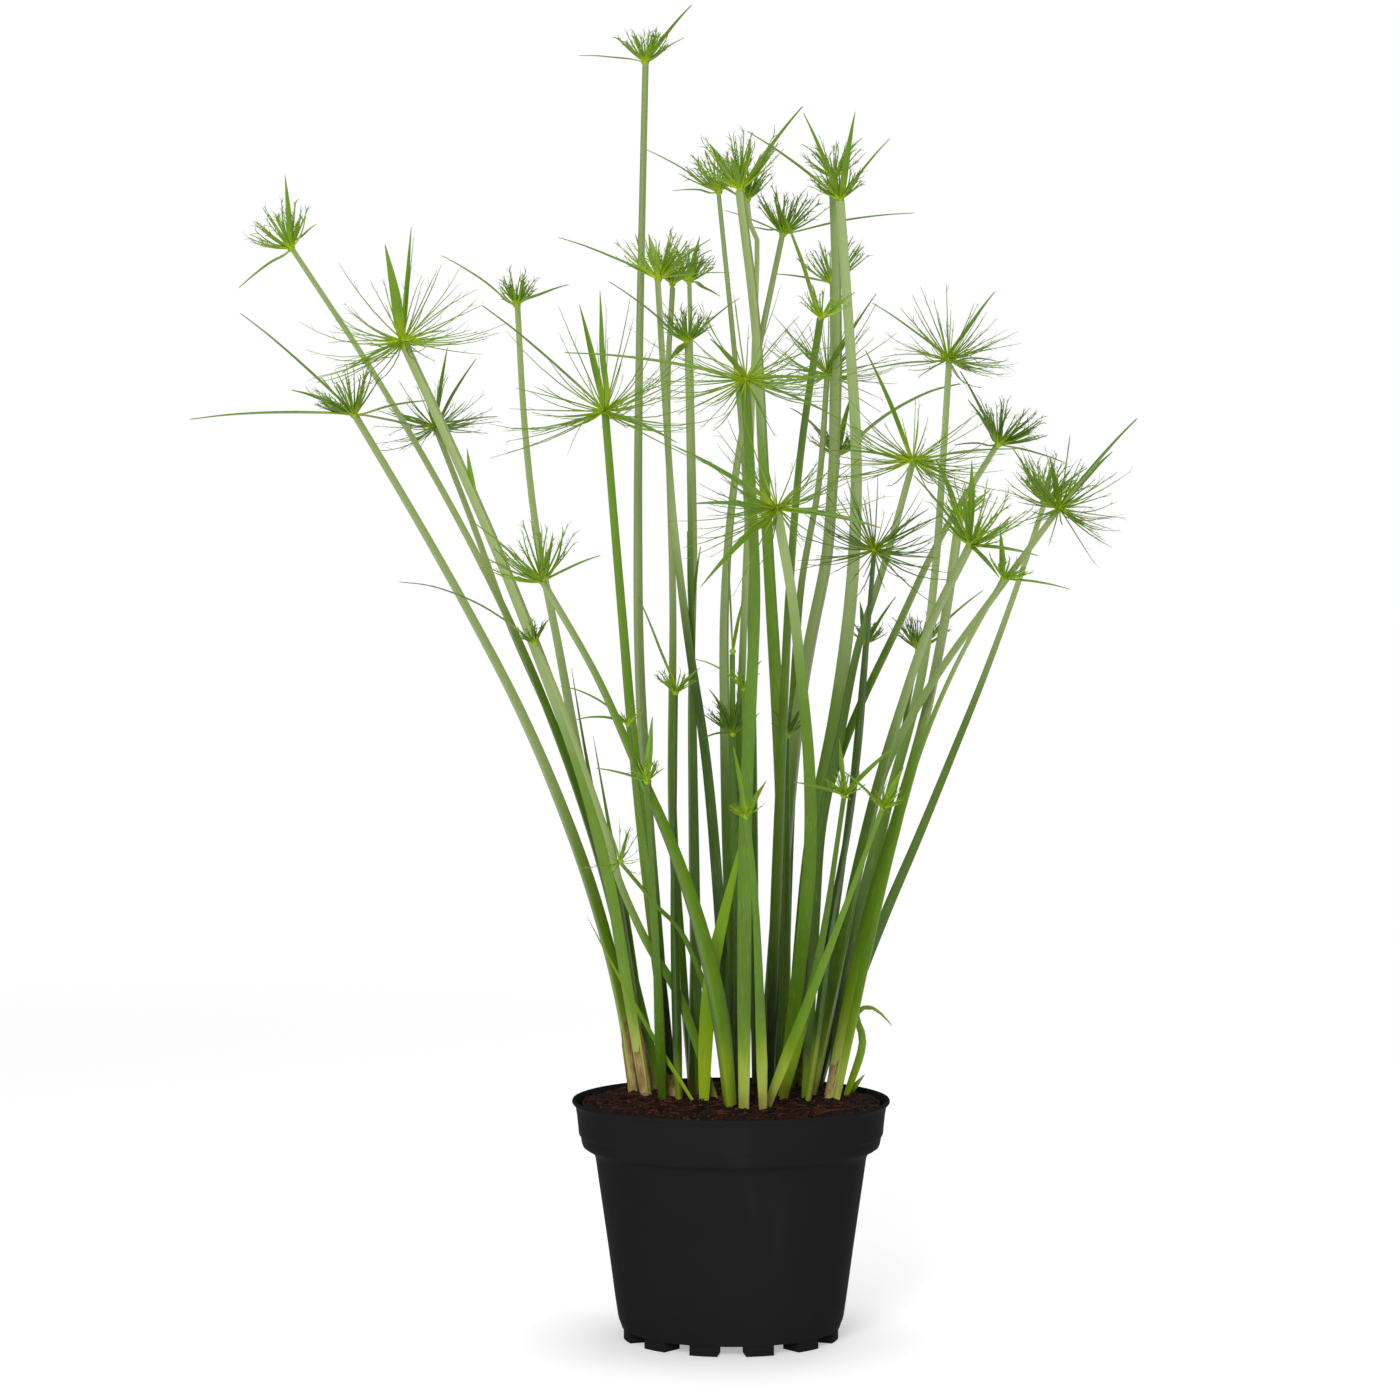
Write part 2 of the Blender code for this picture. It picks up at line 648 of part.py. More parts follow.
def add_bracts(bm, room, culm, owner, centre, radius, axis):
    """The leaf-like bracts below the rays, from the culm's own list."""
    for x, y, z, width in culm["bracts"]:
        chord = Vector((x, y, z))
        lift = BRACT_LIFT * chord.length
        upper = axis - 0.5 * Vector((x, y, 0)).normalized()
        for turn in TURNS:
            turned_chord = Quaternion(UP, math.radians(turn)) @ chord
            line = arched(centre, turned_chord, lift, (0.42, 0.74, 1.0))
            way = (line[0] - centre).normalized()
            face = free_face(bm, centre, radius, way, axis)
            if not face:
                continue
            line.insert(0, centre + (way + face.normal).normalized() * (radius + BRACT_NECK))
            widths = (width * 0.6, width, width * 0.72)
            reach = [size / 2 for size in widths] + [0.2]
            if not room.clear(line, reach, owner):
                continue
            if grow_apart(bm, face, line, widths, [BRACT_THICKNESS] * 3, upper):
                room.take(line, reach, owner)
                break


def add_rays(bm, room, culm, owner, centre, radius, axis, rng):
    """The thread-like rays, spread by the golden angle about the umbel's axis."""
    count, nearest, widest = OPENINGS[culm["opening"]]
    golden = math.pi * (3 - math.sqrt(5))
    side = axis.orthogonal().normalized()
    for i in range(count):
        lean = math.radians(nearest + (widest - nearest) * math.sqrt((i + 0.5) / count))
        length = culm["ray"] * rng.uniform(0.88, 1.08)
        for turn in TURNS:
            spin = Quaternion(axis, golden * i + math.radians(turn))
            way = spin @ (Quaternion(side, lean) @ axis)
            bent = (way - UP * 0.16 * math.sin(lean)).normalized()
            face = free_face(bm, centre, radius, way, axis)
            if not face:
                continue
            neck = centre + (way + face.normal).normalized() * (radius + RAY_NECK)
            line = [neck, centre + way * radius + bent * length]
            upper = way.cross(axis.cross(way))
            if not room.clear(line, [RAY_REACH] * 2, owner):
                continue
            if grow_apart(bm, face, line, (RAY_WIDTH,), (RAY_WIDTH,), upper):
                room.take(line, [RAY_REACH] * 2, owner)
                break


def make_leaf():
    """A strap leaf that stands at the side of the clump and folds over."""
    foot = Vector((*LEAF_FOOT, SOIL_TOP + GAP))
    line = [at_depth(x, z, LEAF_DEPTH) for x, z in LEAF_VIEW]
    bm = bmesh.new()
    corners = ((LEAF_WIDTH / 2, 0.6, 0), (-LEAF_WIDTH / 2, 0.6, 0), (0, -0.6, 0))
    base = [bm.verts.new(foot + Vector(corner)) for corner in corners]
    widths = [LEAF_WIDTH] * 4 + [LEAF_WIDTH * 0.7]
    grow(bm, bm.faces.new(base), line, widths, [1.2] * 5, Vector((0, 1, 0)))
    bm.faces.new(base[::-1])
    return new_object("leaf_curled", bm, "leaf")


def place_stems(room):
    """Finds each culm's line, with the least bow that keeps it clear of those before it."""
    lines = {}
    for owner, (name, culm) in enumerate({**TALL, **YOUNG}.items()):
        rings = STEM_RINGS if name in TALL else SHOOT_RINGS
        hub = HUB_TALL if name in TALL else HUB_YOUNG
        radii = stem_radii(culm, rings)
        for bow in BOWS:
            line = stem_line(culm, rings, bow)
            way = directions(line)[-1]
            whole = [*line, line[-1] + way * (2 * hub + GAP)]
            reach = [*[radius * 1.15 for radius in radii[:-1]], hub, hub]
            if room.clear(whole, reach):
                break
        room.take(whole, reach, owner)
        lines[name] = line
    return lines


def main():
    for thing in list(bpy.data.objects):
        bpy.data.objects.remove(thing, do_unlink=True)
    make_pot()
    make_soil()
    make_leaf()
    room = Room()
    lines = place_stems(room)
    hubs = {}
    for owner, (name, culm) in enumerate({**TALL, **YOUNG}.items()):
        line = lines[name]
        way = directions(line)[-1]
        axis = (way + 0.35 * UP).normalized()
        radius = HUB_TALL if name in TALL else HUB_YOUNG
        gap = GAP if name in TALL else 0
        centre = line[-1] + way * (radius + gap)
        bm = new_hub(centre, radius, way)
        hubs[name] = (bm, centre, radius, axis)
        if name in YOUNG:
            lowest = max(bm.faces, key=lambda face: face.normal.dot(-way))
            widths, depths = three_cornered(stem_radii(culm, SHOOT_RINGS)[::-1])
            grow(bm, lowest, line[::-1], widths, depths, Vector((0, -1, 0)), pointed=False)
        add_bracts(bm, room, culm, owner, centre, radius, axis)
    for owner, (name, culm) in enumerate({**TALL, **YOUNG}.items()):
        bm, centre, radius, axis = hubs[name]
        add_rays(bm, room, culm, owner, centre, radius, axis, random.Random(owner))
        if name in TALL:
            make_stem("stem_" + name, lines[name], stem_radii(culm, STEM_RINGS))
            new_object("umbel_" + name, bm, "umbel")
        else:
            new_object("shoot_" + name, bm, "shoot")


main()
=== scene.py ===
import json
import math
import random

import bmesh
import bpy
import numpy as np
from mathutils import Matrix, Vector

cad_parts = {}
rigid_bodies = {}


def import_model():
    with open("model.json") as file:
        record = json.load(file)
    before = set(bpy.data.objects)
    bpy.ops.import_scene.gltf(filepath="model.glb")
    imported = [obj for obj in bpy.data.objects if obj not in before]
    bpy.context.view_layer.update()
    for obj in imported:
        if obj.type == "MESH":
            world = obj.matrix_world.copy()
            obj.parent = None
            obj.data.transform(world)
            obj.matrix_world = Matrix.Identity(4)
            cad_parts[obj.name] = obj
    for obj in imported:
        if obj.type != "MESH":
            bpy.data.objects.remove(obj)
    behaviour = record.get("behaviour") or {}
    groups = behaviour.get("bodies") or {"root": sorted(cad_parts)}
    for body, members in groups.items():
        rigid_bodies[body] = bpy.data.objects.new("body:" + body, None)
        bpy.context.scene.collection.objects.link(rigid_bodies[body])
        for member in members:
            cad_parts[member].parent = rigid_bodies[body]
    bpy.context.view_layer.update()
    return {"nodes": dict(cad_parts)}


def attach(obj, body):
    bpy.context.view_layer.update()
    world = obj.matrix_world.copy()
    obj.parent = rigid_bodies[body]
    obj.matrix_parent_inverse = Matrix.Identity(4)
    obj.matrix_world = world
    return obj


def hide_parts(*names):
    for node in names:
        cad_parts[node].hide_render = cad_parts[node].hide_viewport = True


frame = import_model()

mm = 0.001
up = np.array((0.0, 0.0, 1.0))
eye = np.array((-18.5, -2300.0, 460.0))  # where the front view is seen from, in millimetres
soilTop = 142.0
print("frame loaded:", len(frame["nodes"]), "nodes")


# Small helpers for working with pieces

def deselectAll():
    if bpy.context.mode != "OBJECT":
        bpy.ops.object.mode_set(mode="OBJECT")
    bpy.ops.object.select_all(action="DESELECT")


def pickInEdit(piece, sort, wanted):
    # selects the vertices or faces for which wanted(item) is true
    mesh = bmesh.from_edit_mesh(piece.data)
    bpy.ops.mesh.select_all(action="DESELECT")
    bpy.context.tool_settings.mesh_select_mode = (sort == "verts", sort == "edges", sort == "faces")
    for item in getattr(mesh, sort):
        item.select = bool(wanted(item))
    mesh.select_flush_mode()
    bmesh.update_edit_mesh(piece.data)


def unit(vector):
    return vector / max(np.linalg.norm(vector), 1e-9)


def atDepth(x, z, depth):
    # the point at this depth that the front view shows at x and z, in millimetres
    scale = 1 + depth / -eye[1]
    return np.array((eye[0] + (x - eye[0]) * scale, depth, eye[2] + (z - eye[2]) * scale))


def smoothLine(points, count):
    # a smooth line through the points, sampled evenly
    points = np.array(points, float)
    if len(points) == 2:
        steps = np.linspace(0, 1, count)[:, None]
        return points[0] + (points[1] - points[0]) * steps
    before = 2 * points[0] - points[1]
    after = 2 * points[-1] - points[-2]
    knots = np.vstack((before, points, after))
    dense = []
    for i in range(1, len(knots) - 2):
        for t in np.linspace(0, 1, 12, endpoint=False):
            a, b, c, d = knots[i - 1], knots[i], knots[i + 1], knots[i + 2]
            dense.append(0.5 * (2 * b + (c - a) * t + (2 * a - 5 * b + 4 * c - d) * t**2 + (3 * b - a - 3 * c + d) * t**3))
    dense.append(points[-1])
    dense = np.array(dense)
    length = np.append(0, np.cumsum(np.linalg.norm(np.diff(dense, axis=0), axis=1)))
    at = np.linspace(0, length[-1], count)
    return np.stack([np.interp(at, length, dense[:, k]) for k in range(3)], axis=1)


def bendLine(start, control, end, count=6):
    t = np.linspace(0, 1, count)[:, None]
    return (1 - t) ** 2 * start + 2 * t * (1 - t) * control + t**2 * end


# Blanks: each is modelled once, standing on the origin and one unit long, and copies of it are laid along lines

def takeBlank(piece, wraps=True):
    deselectAll()
    mesh = piece.data
    co = np.empty(len(mesh.vertices) * 3)
    mesh.vertices.foreach_get("co", co)
    co = co.reshape(-1, 3)
    corner = np.empty(len(mesh.loops), int)
    mesh.loops.foreach_get("vertex_index", corner)
    size = np.empty(len(mesh.polygons), int)
    mesh.polygons.foreach_get("loop_total", size)
    if wraps:
        u = (np.arctan2(co[:, 1], co[:, 0]) / (2 * math.pi) % 1)[corner]
        start = np.append(0, np.cumsum(size)[:-1])
        for first, count in zip(start, size):
            part = u[first:first + count]
            if np.ptp(part) > 0.5:
                part[part < 0.5] += 1
    else:
        u = co[corner, 0] + 0.5
    v = co[corner, 2]
    bpy.data.objects.remove(piece, do_unlink=True)
    return dict(co=co, corner=corner, size=size, u=u, v=v)


stemSettings = dict(corner=1.5, rounding=0.45, stations=44)


def makeStemBlank():
    # a three-cornered stalk with rounded corners
    deselectAll()
    bpy.ops.mesh.primitive_circle_add(vertices=3, radius=stemSettings["corner"], fill_type="NGON")
    piece = bpy.context.object
    bpy.ops.object.mode_set(mode="EDIT")
    bpy.ops.mesh.select_all(action="SELECT")
    bpy.ops.mesh.bevel(offset=stemSettings["rounding"], segments=2, affect="VERTICES")
    bpy.ops.mesh.select_all(action="SELECT")
    step = 1 / stemSettings["stations"]
    for i in range(stemSettings["stations"]):
        bpy.ops.mesh.extrude_region_move(TRANSFORM_OT_translate={"value": (0, 0, step)})
    bpy.ops.mesh.select_all(action="SELECT")
    bpy.ops.mesh.normals_make_consistent(inside=False)
    return takeBlank(piece)


rayBlankSettings = dict(sides=3, taper=(1.0, 0.86, 0.74, 0.62, 0.46, 0.22))


def makeRayBlank():
    # a thread that narrows to its tip
    deselectAll()
    taper = rayBlankSettings["taper"]
    bpy.ops.mesh.primitive_circle_add(vertices=rayBlankSettings["sides"], radius=0.5, fill_type="NGON")
    piece = bpy.context.object
    bpy.ops.object.mode_set(mode="EDIT")
    bpy.ops.mesh.select_all(action="SELECT")
    for before, after in zip(taper, taper[1:]):
        bpy.ops.mesh.extrude_region_move(TRANSFORM_OT_translate={"value": (0, 0, 1 / (len(taper) - 1))})
        bpy.ops.transform.resize(value=(after / before, after / before, 1))
    bpy.ops.mesh.select_all(action="SELECT")
    bpy.ops.mesh.normals_make_consistent(inside=False)
    return takeBlank(piece)


bractBlankSettings = dict(
    rows=14, keel=0.17, thickness=0.12,
    widths=(0.62, 0.78, 0.9, 0.97, 1.0, 1.0, 0.97, 0.91, 0.82, 0.71, 0.58, 0.44, 0.3, 0.16, 0.03),
)


def makeBractBlank():
    # a keeled blade: a strip whose middle is pushed down, given a thickness
    deselectAll()
    rows = bractBlankSettings["rows"]
    bpy.ops.mesh.primitive_grid_add(x_subdivisions=2, y_subdivisions=rows, size=1, location=(0, 0, 0.5), rotation=(math.pi / 2, 0, 0))
    piece = bpy.context.object
    bpy.ops.object.transform_apply(location=True, rotation=True, scale=True)
    bpy.ops.object.mode_set(mode="EDIT")
    pickInEdit(piece, "verts", lambda vert: abs(vert.co.x) < 0.01)
    bpy.ops.transform.translate(value=(0, -bractBlankSettings["keel"], 0))
    for row, width in enumerate(bractBlankSettings["widths"]):
        pickInEdit(piece, "verts", lambda vert: abs(vert.co.z - row / rows) < 0.3 / rows)
        bpy.ops.transform.resize(value=(width, width, 1), center_override=(0, 0, row / rows))
    bpy.ops.object.mode_set(mode="OBJECT")
    solid = piece.modifiers.new("Blade", "SOLIDIFY")
    solid.thickness = bractBlankSettings["thickness"]
    solid.offset = 0
    bpy.ops.object.modifier_apply(modifier=solid.name)
    bpy.ops.object.mode_set(mode="EDIT")
    bpy.ops.mesh.select_all(action="SELECT")
    bpy.ops.mesh.normals_make_consistent(inside=False)
    return takeBlank(piece, wraps=False)


def makeHubBlank():
    # the swollen node that the rays leave from
    deselectAll()
    bpy.ops.mesh.primitive_ico_sphere_add(subdivisions=2, radius=0.5, location=(0, 0, 0.5))
    piece = bpy.context.object
    bpy.ops.object.transform_apply(location=True, rotation=True, scale=True)
    bpy.ops.object.mode_set(mode="EDIT")
    pickInEdit(piece, "verts", lambda vert: vert.co.z < 0.3)
    bpy.ops.transform.resize(value=(0.8, 0.8, 1), center_override=(0, 0, 0))
    return takeBlank(piece)


def makeCrumbBlank():
    deselectAll()
    bpy.ops.mesh.primitive_ico_sphere_add(subdivisions=1, radius=0.5)
    piece = bpy.context.object
    bpy.ops.object.mode_set(mode="EDIT")
    bpy.ops.mesh.select_all(action="SELECT")
    bpy.ops.transform.resize(value=(1, 0.8, 0.62))
    return takeBlank(piece)


sheathSettings = dict(rows=6, thickness=0.1)


def makeSheathBlank():
    # a papery tube, torn to a slant at its top
    deselectAll()
    bpy.ops.mesh.primitive_circle_add(vertices=12, radius=1, fill_type="NOTHING")
    piece = bpy.context.object
    rows = sheathSettings["rows"]
    bpy.ops.object.mode_set(mode="EDIT")
    bpy.ops.mesh.select_all(action="SELECT")
    for i in range(rows):
        bpy.ops.mesh.extrude_region_move(TRANSFORM_OT_translate={"value": (0, 0, 1 / rows)})
        bpy.ops.transform.resize(value=(0.98, 0.98, 1))
    pickInEdit(piece, "verts", lambda vert: vert.co.z > 0.97 and vert.co.y > 0.2)
    bpy.ops.transform.translate(value=(0, 0, -0.42))
    pickInEdit(piece, "verts", lambda vert: 0.75 < vert.co.z < 0.9 and vert.co.y > 0.2)
    bpy.ops.transform.translate(value=(0, 0, -0.3))
    pickInEdit(piece, "verts", lambda vert: vert.co.z > 0.97 and abs(vert.co.y) < 0.2)
    bpy.ops.transform.translate(value=(0, 0, -0.15))
    bpy.ops.object.mode_set(mode="OBJECT")
    solid = piece.modifiers.new("Paper", "SOLIDIFY")
    solid.thickness = sheathSettings["thickness"]
    solid.offset = 1
    bpy.ops.object.modifier_apply(modifier=solid.name)
    bpy.ops.object.mode_set(mode="EDIT")
    bpy.ops.mesh.select_all(action="SELECT")
    bpy.ops.mesh.normals_make_consistent(inside=False)
    return takeBlank(piece)


stemBlank = makeStemBlank()
rayBlank = makeRayBlank()
bractBlank = makeBractBlank()
hubBlank = makeHubBlank()
crumbBlank = makeCrumbBlank()
sheathBlank = makeSheathBlank()
print("blanks modelled")


# Laying blanks along lines, and joining what has been laid into one piece

def layAlong(blank, line, width, depth=None, upper=up, twist=0.0, tint=(0, 0, 0)):
    line = np.asarray(line, float)
    steps = np.linalg.norm(np.diff(line, axis=0), axis=1)
    length = np.append(0, np.cumsum(steps))
    total = max(length[-1], 1e-6)
    at = np.clip(blank["co"][:, 2], 0, 1) * total
    point = np.stack([np.interp(at, length, line[:, k]) for k in range(3)], axis=1)
    ways = np.gradient(line, axis=0)
    way = np.stack([np.interp(at, length, ways[:, k]) for k in range(3)], axis=1)
    way /= np.linalg.norm(way, axis=1)[:, None] + 1e-12
    side = np.cross(np.asarray(upper, float), way)
    side /= np.linalg.norm(side, axis=1)[:, None] + 1e-12
    top = np.cross(way, side)
    widths = np.interp(at, np.linspace(0, total, len(width)), width) if np.ndim(width) else width
    depths = widths if depth is None else depth
    turnX = math.cos(twist) * blank["co"][:, 0] - math.sin(twist) * blank["co"][:, 1]
    turnY = math.sin(twist) * blank["co"][:, 0] + math.cos(twist) * blank["co"][:, 1]
    co = point + side * (turnX * widths)[:, None] + top * (turnY * depths)[:, None]
    return dict(blank=blank, co=co, length=total, tint=tint)


def placeBlank(blank, point, size, turn, tint):
    # one copy, turned about Z, with its own size on each axis
    c, s = math.cos(turn), math.sin(turn)
    co = blank["co"] * size
    co = np.stack((co[:, 0] * c - co[:, 1] * s, co[:, 0] * s + co[:, 1] * c, co[:, 2]), axis=1)
    return dict(blank=blank, co=co + point, length=1, tint=tint)


def joinShapes(name, shapes, material, replaced=(), angle=34, inMillimetres=True):
    corners, sizes, us, vs, offset = [], [], [], [], 0
    for shape in shapes:
        blank = shape["blank"]
        corners.append(blank["corner"] + offset)
        sizes.append(blank["size"])
        us.append(blank["u"])
        vs.append(blank["v"])
        offset += len(shape["co"])
    co = np.vstack([shape["co"] for shape in shapes]) * (mm if inMillimetres else 1)
    corner = np.concatenate(corners)
    size = np.concatenate(sizes)
    mesh = bpy.data.meshes.new(name)
    mesh.vertices.add(len(co))
    mesh.vertices.foreach_set("co", co.ravel())
    mesh.loops.add(len(corner))
    mesh.loops.foreach_set("vertex_index", corner)
    mesh.polygons.add(len(size))
    mesh.polygons.foreach_set("loop_start", np.append(0, np.cumsum(size)[:-1]))
    mesh.polygons.foreach_set("loop_total", size)
    layer = mesh.uv_layers.new(name="UVMap")
    layer.data.foreach_set("uv", np.stack((np.concatenate(us), np.concatenate(vs)), axis=1).ravel())
    tint = mesh.attributes.new("tint", "FLOAT_VECTOR", "POINT")
    values = np.vstack([np.tile(np.array(shape["tint"], float), (len(shape["co"]), 1)) for shape in shapes])
    tint.data.foreach_set("vector", values.ravel())
    mesh.update(calc_edges=True)
    mesh.validate()
    mesh.shade_smooth()
    mesh.set_sharp_from_angle(angle=math.radians(angle))
    piece = bpy.data.objects.new(name, mesh)
    bpy.context.scene.collection.objects.link(piece)
    mesh.materials.append(material)
    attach(piece, "root")
    if replaced:
        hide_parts(*replaced)
    return piece


# Materials

class Value:
    def __init__(self, maker, socket):
        self.maker = maker
        self.socket = socket

    def __add__(self, other):
        return self.maker.maths("ADD", self, other)

    def __radd__(self, other):
        return self.maker.maths("ADD", other, self)

    def __sub__(self, other):
        return self.maker.maths("SUBTRACT", self, other)

    def __rsub__(self, other):
        return self.maker.maths("SUBTRACT", other, self)

    def __mul__(self, other):
        return self.maker.maths("MULTIPLY", self, other)

    def __rmul__(self, other):
        return self.maker.maths("MULTIPLY", other, self)

    def __truediv__(self, other):
        return self.maker.maths("DIVIDE", self, other)

    def __pow__(self, other):
        return self.maker.maths("POWER", self, other)


class Maker:
    def __init__(self, name, **constants):
        self.material = bpy.data.materials.new(name)
        self.material.use_nodes = True
        self.tree = self.material.node_tree
        self.shader = self.tree.nodes["Principled BSDF"]
        for key, value in constants.items():
            self.shader.inputs[key.replace("_", " ")].default_value = value

    def feed(self, socket, value):
        if isinstance(value, Value):
            self.tree.links.new(value.socket, socket)
        elif isinstance(value, tuple) and len(value) == 3 and socket.type == "RGBA":
            socket.default_value = (*value, 1)
        else:
            socket.default_value = value

    def node(self, kind, settings=None, inputs=None, output=0):
        made = self.tree.nodes.new(kind)
        for key, value in (settings or {}).items():
            if key == "stops":
                ramp = made.color_ramp
                while len(ramp.elements) < len(value):
                    ramp.elements.new(0.5)
                for element, (place, colour) in zip(ramp.elements, value):
                    element.position = place
                    element.color = (*colour, 1)
            else:
                setattr(made, key, value)
        for key, value in (inputs or {}).items():
            if isinstance(key, str):
                socket = next((s for s in made.inputs if s.identifier == key), None) or made.inputs[key]
            else:
                socket = made.inputs[key]
            self.feed(socket, value)
        return Value(self, made.outputs[output])

    def maths(self, operation, first, second):
        return self.node("ShaderNodeMath", {"operation": operation}, {0: first, 1: second})

    def mix(self, factor, first, second, blend="MIX"):
        settings = {"data_type": "RGBA", "blend_type": blend}
        return self.node("ShaderNodeMix", settings, {"Factor_Float": factor, "A_Color": first, "B_Color": second}, 2)

    def between(self, value, low, high):
        # 0 at low, 1 at high, smooth in between
        return self.node(
            "ShaderNodeMapRange", {"interpolation_type": "SMOOTHSTEP"},
            {"Value": value, "From Min": low, "From Max": high},
        )

    def noise(self, vector, scale, detail=2.0, roughness=0.5):
        return self.node("ShaderNodeTexNoise", {}, {"Vector": vector, "Scale": scale, "Detail": detail, "Roughness": roughness})

    def stretched(self, vector, scale):
        return self.node("ShaderNodeMapping", {}, {"Vector": vector, "Scale": scale})

    def objectPlace(self):
        return self.node("ShaderNodeTexCoord", output=3)

    def uvPlace(self):
        return self.node("ShaderNodeUVMap", {"uv_map": "UVMap"})

    def split(self, vector):
        made = self.tree.nodes.new("ShaderNodeSeparateXYZ")
        self.feed(made.inputs[0], vector)
        return [Value(self, socket) for socket in made.outputs]

    def tint(self):
        made = self.tree.nodes.new("ShaderNodeAttribute")
        made.attribute_name = "tint"
        return self.split(Value(self, made.outputs["Vector"]))

    def bump(self, height, strength, distance):
        return self.node("ShaderNodeBump", {}, {"Height": height, "Strength": strength, "Distance": distance})

    def finish(self, **links):
        for key, value in links.items():
            self.feed(self.shader.inputs[key.replace("_", " ")], value)
        return self.material


def screenColour(red, green, blue):
    # a colour as it looks on screen, 0 to 255, as the linear values that a shader takes
    return tuple(((c / 255 + 0.055) / 1.055) ** 2.4 if c > 10 else c / 255 / 12.92 for c in (red, green, blue))


# dark is painted shade for the feet of culms inside the clump; deep is partly the culm's own dark green, partly painted
# shade
stemColours = dict(
    vivid=screenColour(94, 131, 16), sage=screenColour(142, 162, 98), deep=screenColour(36, 66, 6), fresh=screenColour(148, 176, 30),
    pale=screenColour(206, 212, 112), dark=screenColour(24, 38, 6), brown=screenColour(132, 92, 50),
)


def makeStemMaterial():
    # tint holds the height in metres where the culm turns grey-green, how deep its green is lower down (partly painted
    # shade on back and inner culms),
    # and its base: above 0 how far up it is pale, below 0 how much painted shade darkens its foot
    maker = Maker("culm green", Roughness=0.42, Specular_IOR_Level=0.3)
    place = maker.objectPlace()
    height = maker.split(place)[2]
    uv = maker.uvPlace()
    turn, deep, base = maker.tint()
    grain = maker.noise(maker.stretched(uv, (26, 9, 1)), 3.0, 3.0, 0.6)
    blotch = maker.noise(maker.stretched(place, (60, 60, 14)), 1.0, 2.0)
    uneven = height + (blotch - 0.5) * 0.05
    grey = maker.between(uneven - turn, -0.05, 0.05)
    colour = maker.mix(grey, stemColours["vivid"], stemColours["sage"])
    # deep green: partly the culm's own darker tone, partly painted shade on culms at the back and inside the clump
    deepToneAndShade = maker.node("ShaderNodeClamp", {}, {"Value": (deep + (blotch - 0.5) * 0.4) * (1 - grey * 0.85)})
    colour = maker.mix(deepToneAndShade, colour, stemColours["deep"])
    colour = maker.mix((1 - maker.between(uneven, 0.15, 0.155 + base * 0.09)) * maker.between(base, 0.0, 0.3) * 0.85, colour, stemColours["fresh"])
    colour = maker.mix((1 - maker.between(uneven, 0.142, 0.15 + base * 0.06)) * maker.between(base, 0.35, 0.8) * 0.9, colour, stemColours["pale"])
    # painted shade: culms whose base is below 0 are darkened towards their feet, standing in for the shade inside the
    # clump
    colour = maker.mix((1 - maker.between(uneven, 0.18, 0.26)) * maker.between(0 - base, 0.0, 1.0) * 0.9, colour, stemColours["dark"])
    low = (1 - maker.between(height, 0.146, 0.156)) * maker.between(blotch, 0.45, 0.65)
    colour = maker.mix(low * 0.6, colour, stemColours["brown"])
    streak = maker.mix((grain - 0.35) * 0.55, colour, screenColour(30, 60, 10), "MULTIPLY")
    # pale streaks along the grain: partly the culm's own fine ribs, partly painted highlight
    light = maker.mix(maker.between(grain, 0.56, 0.74) * 0.3, streak, screenColour(204, 216, 140))
    return maker.finish(Base_Color=light, Normal=maker.bump(grain, 0.25, 0.0002))


umbelColours = dict(
    centre=screenColour(176, 200, 26), bright=screenColour(130, 168, 20), green=screenColour(96, 134, 20),
    deep=screenColour(48, 82, 10), tip=screenColour(140, 100, 44),
)


def makeUmbelMaterial():
    # tint holds how bright the limb is, how deep, and how brown its tip is; v runs from the hub to the tip
    maker = Maker("umbel green", Roughness=0.45, Specular_IOR_Level=0.28)
    uv = maker.uvPlace()
    across, along, rest = maker.split(uv)
    bright, deep, brown = maker.tint()
    grain = maker.noise(maker.stretched(uv, (18, 5, 1)), 2.0, 2.0)
    colour = maker.mix(bright, umbelColours["green"], umbelColours["bright"])
    colour = maker.mix(deep, colour, umbelColours["deep"])
    centre = (1 - maker.between(along, 0.02, 0.38)) * (0.35 + bright * 0.65)
    colour = maker.mix(centre, colour, umbelColours["centre"])
    colour = maker.mix(maker.between(along, 0.9, 0.99) * brown, colour, umbelColours["tip"])
    colour = maker.mix((grain - 0.3) * 0.6, colour, screenColour(40, 70, 14), "MULTIPLY")
    return maker.finish(Base_Color=colour, Normal=maker.bump(grain, 0.2, 0.0002))


sheathColours = dict(tan=screenColour(176, 142, 92), brown=screenColour(96, 62, 34), pale=screenColour(196, 186, 120))


def makeSheathMaterial():
    maker = Maker("dry sheath", Roughness=0.8, Specular_IOR_Level=0.2)
    uv = maker.uvPlace()
    along = maker.split(uv)[1]
    fibre = maker.noise(maker.stretched(uv, (30, 2, 1)), 2.0, 3.0, 0.7)
    patch = maker.noise(maker.objectPlace(), 120.0, 2.0)
    colour = maker.mix(maker.between(patch + along * 0.2, 0.4, 0.75), sheathColours["pale"], sheathColours["tan"])
    colour = maker.mix(maker.between(fibre + along * 0.15, 0.5, 0.72), colour, sheathColours["brown"])
    return maker.finish(Base_Color=colour, Normal=maker.bump(fibre, 0.6, 0.0004))


def makeSoilMaterial():
    maker = Maker("damp peat", Roughness=0.95, Specular_IOR_Level=0.15)
    place = maker.objectPlace()
    fine = maker.noise(place, 900.0, 4.0, 0.7)
    clods = maker.noise(place, 260.0, 3.0, 0.6)
    colour = maker.mix(maker.between(clods, 0.35, 0.7), screenColour(15, 7, 6), screenColour(42, 19, 13))
    colour = maker.mix(maker.between(fine, 0.6, 0.7) * 0.7, colour, screenColour(112, 60, 38))
    return maker.finish(Base_Color=colour, Normal=maker.bump(fine + clods, 0.9, 0.0012))


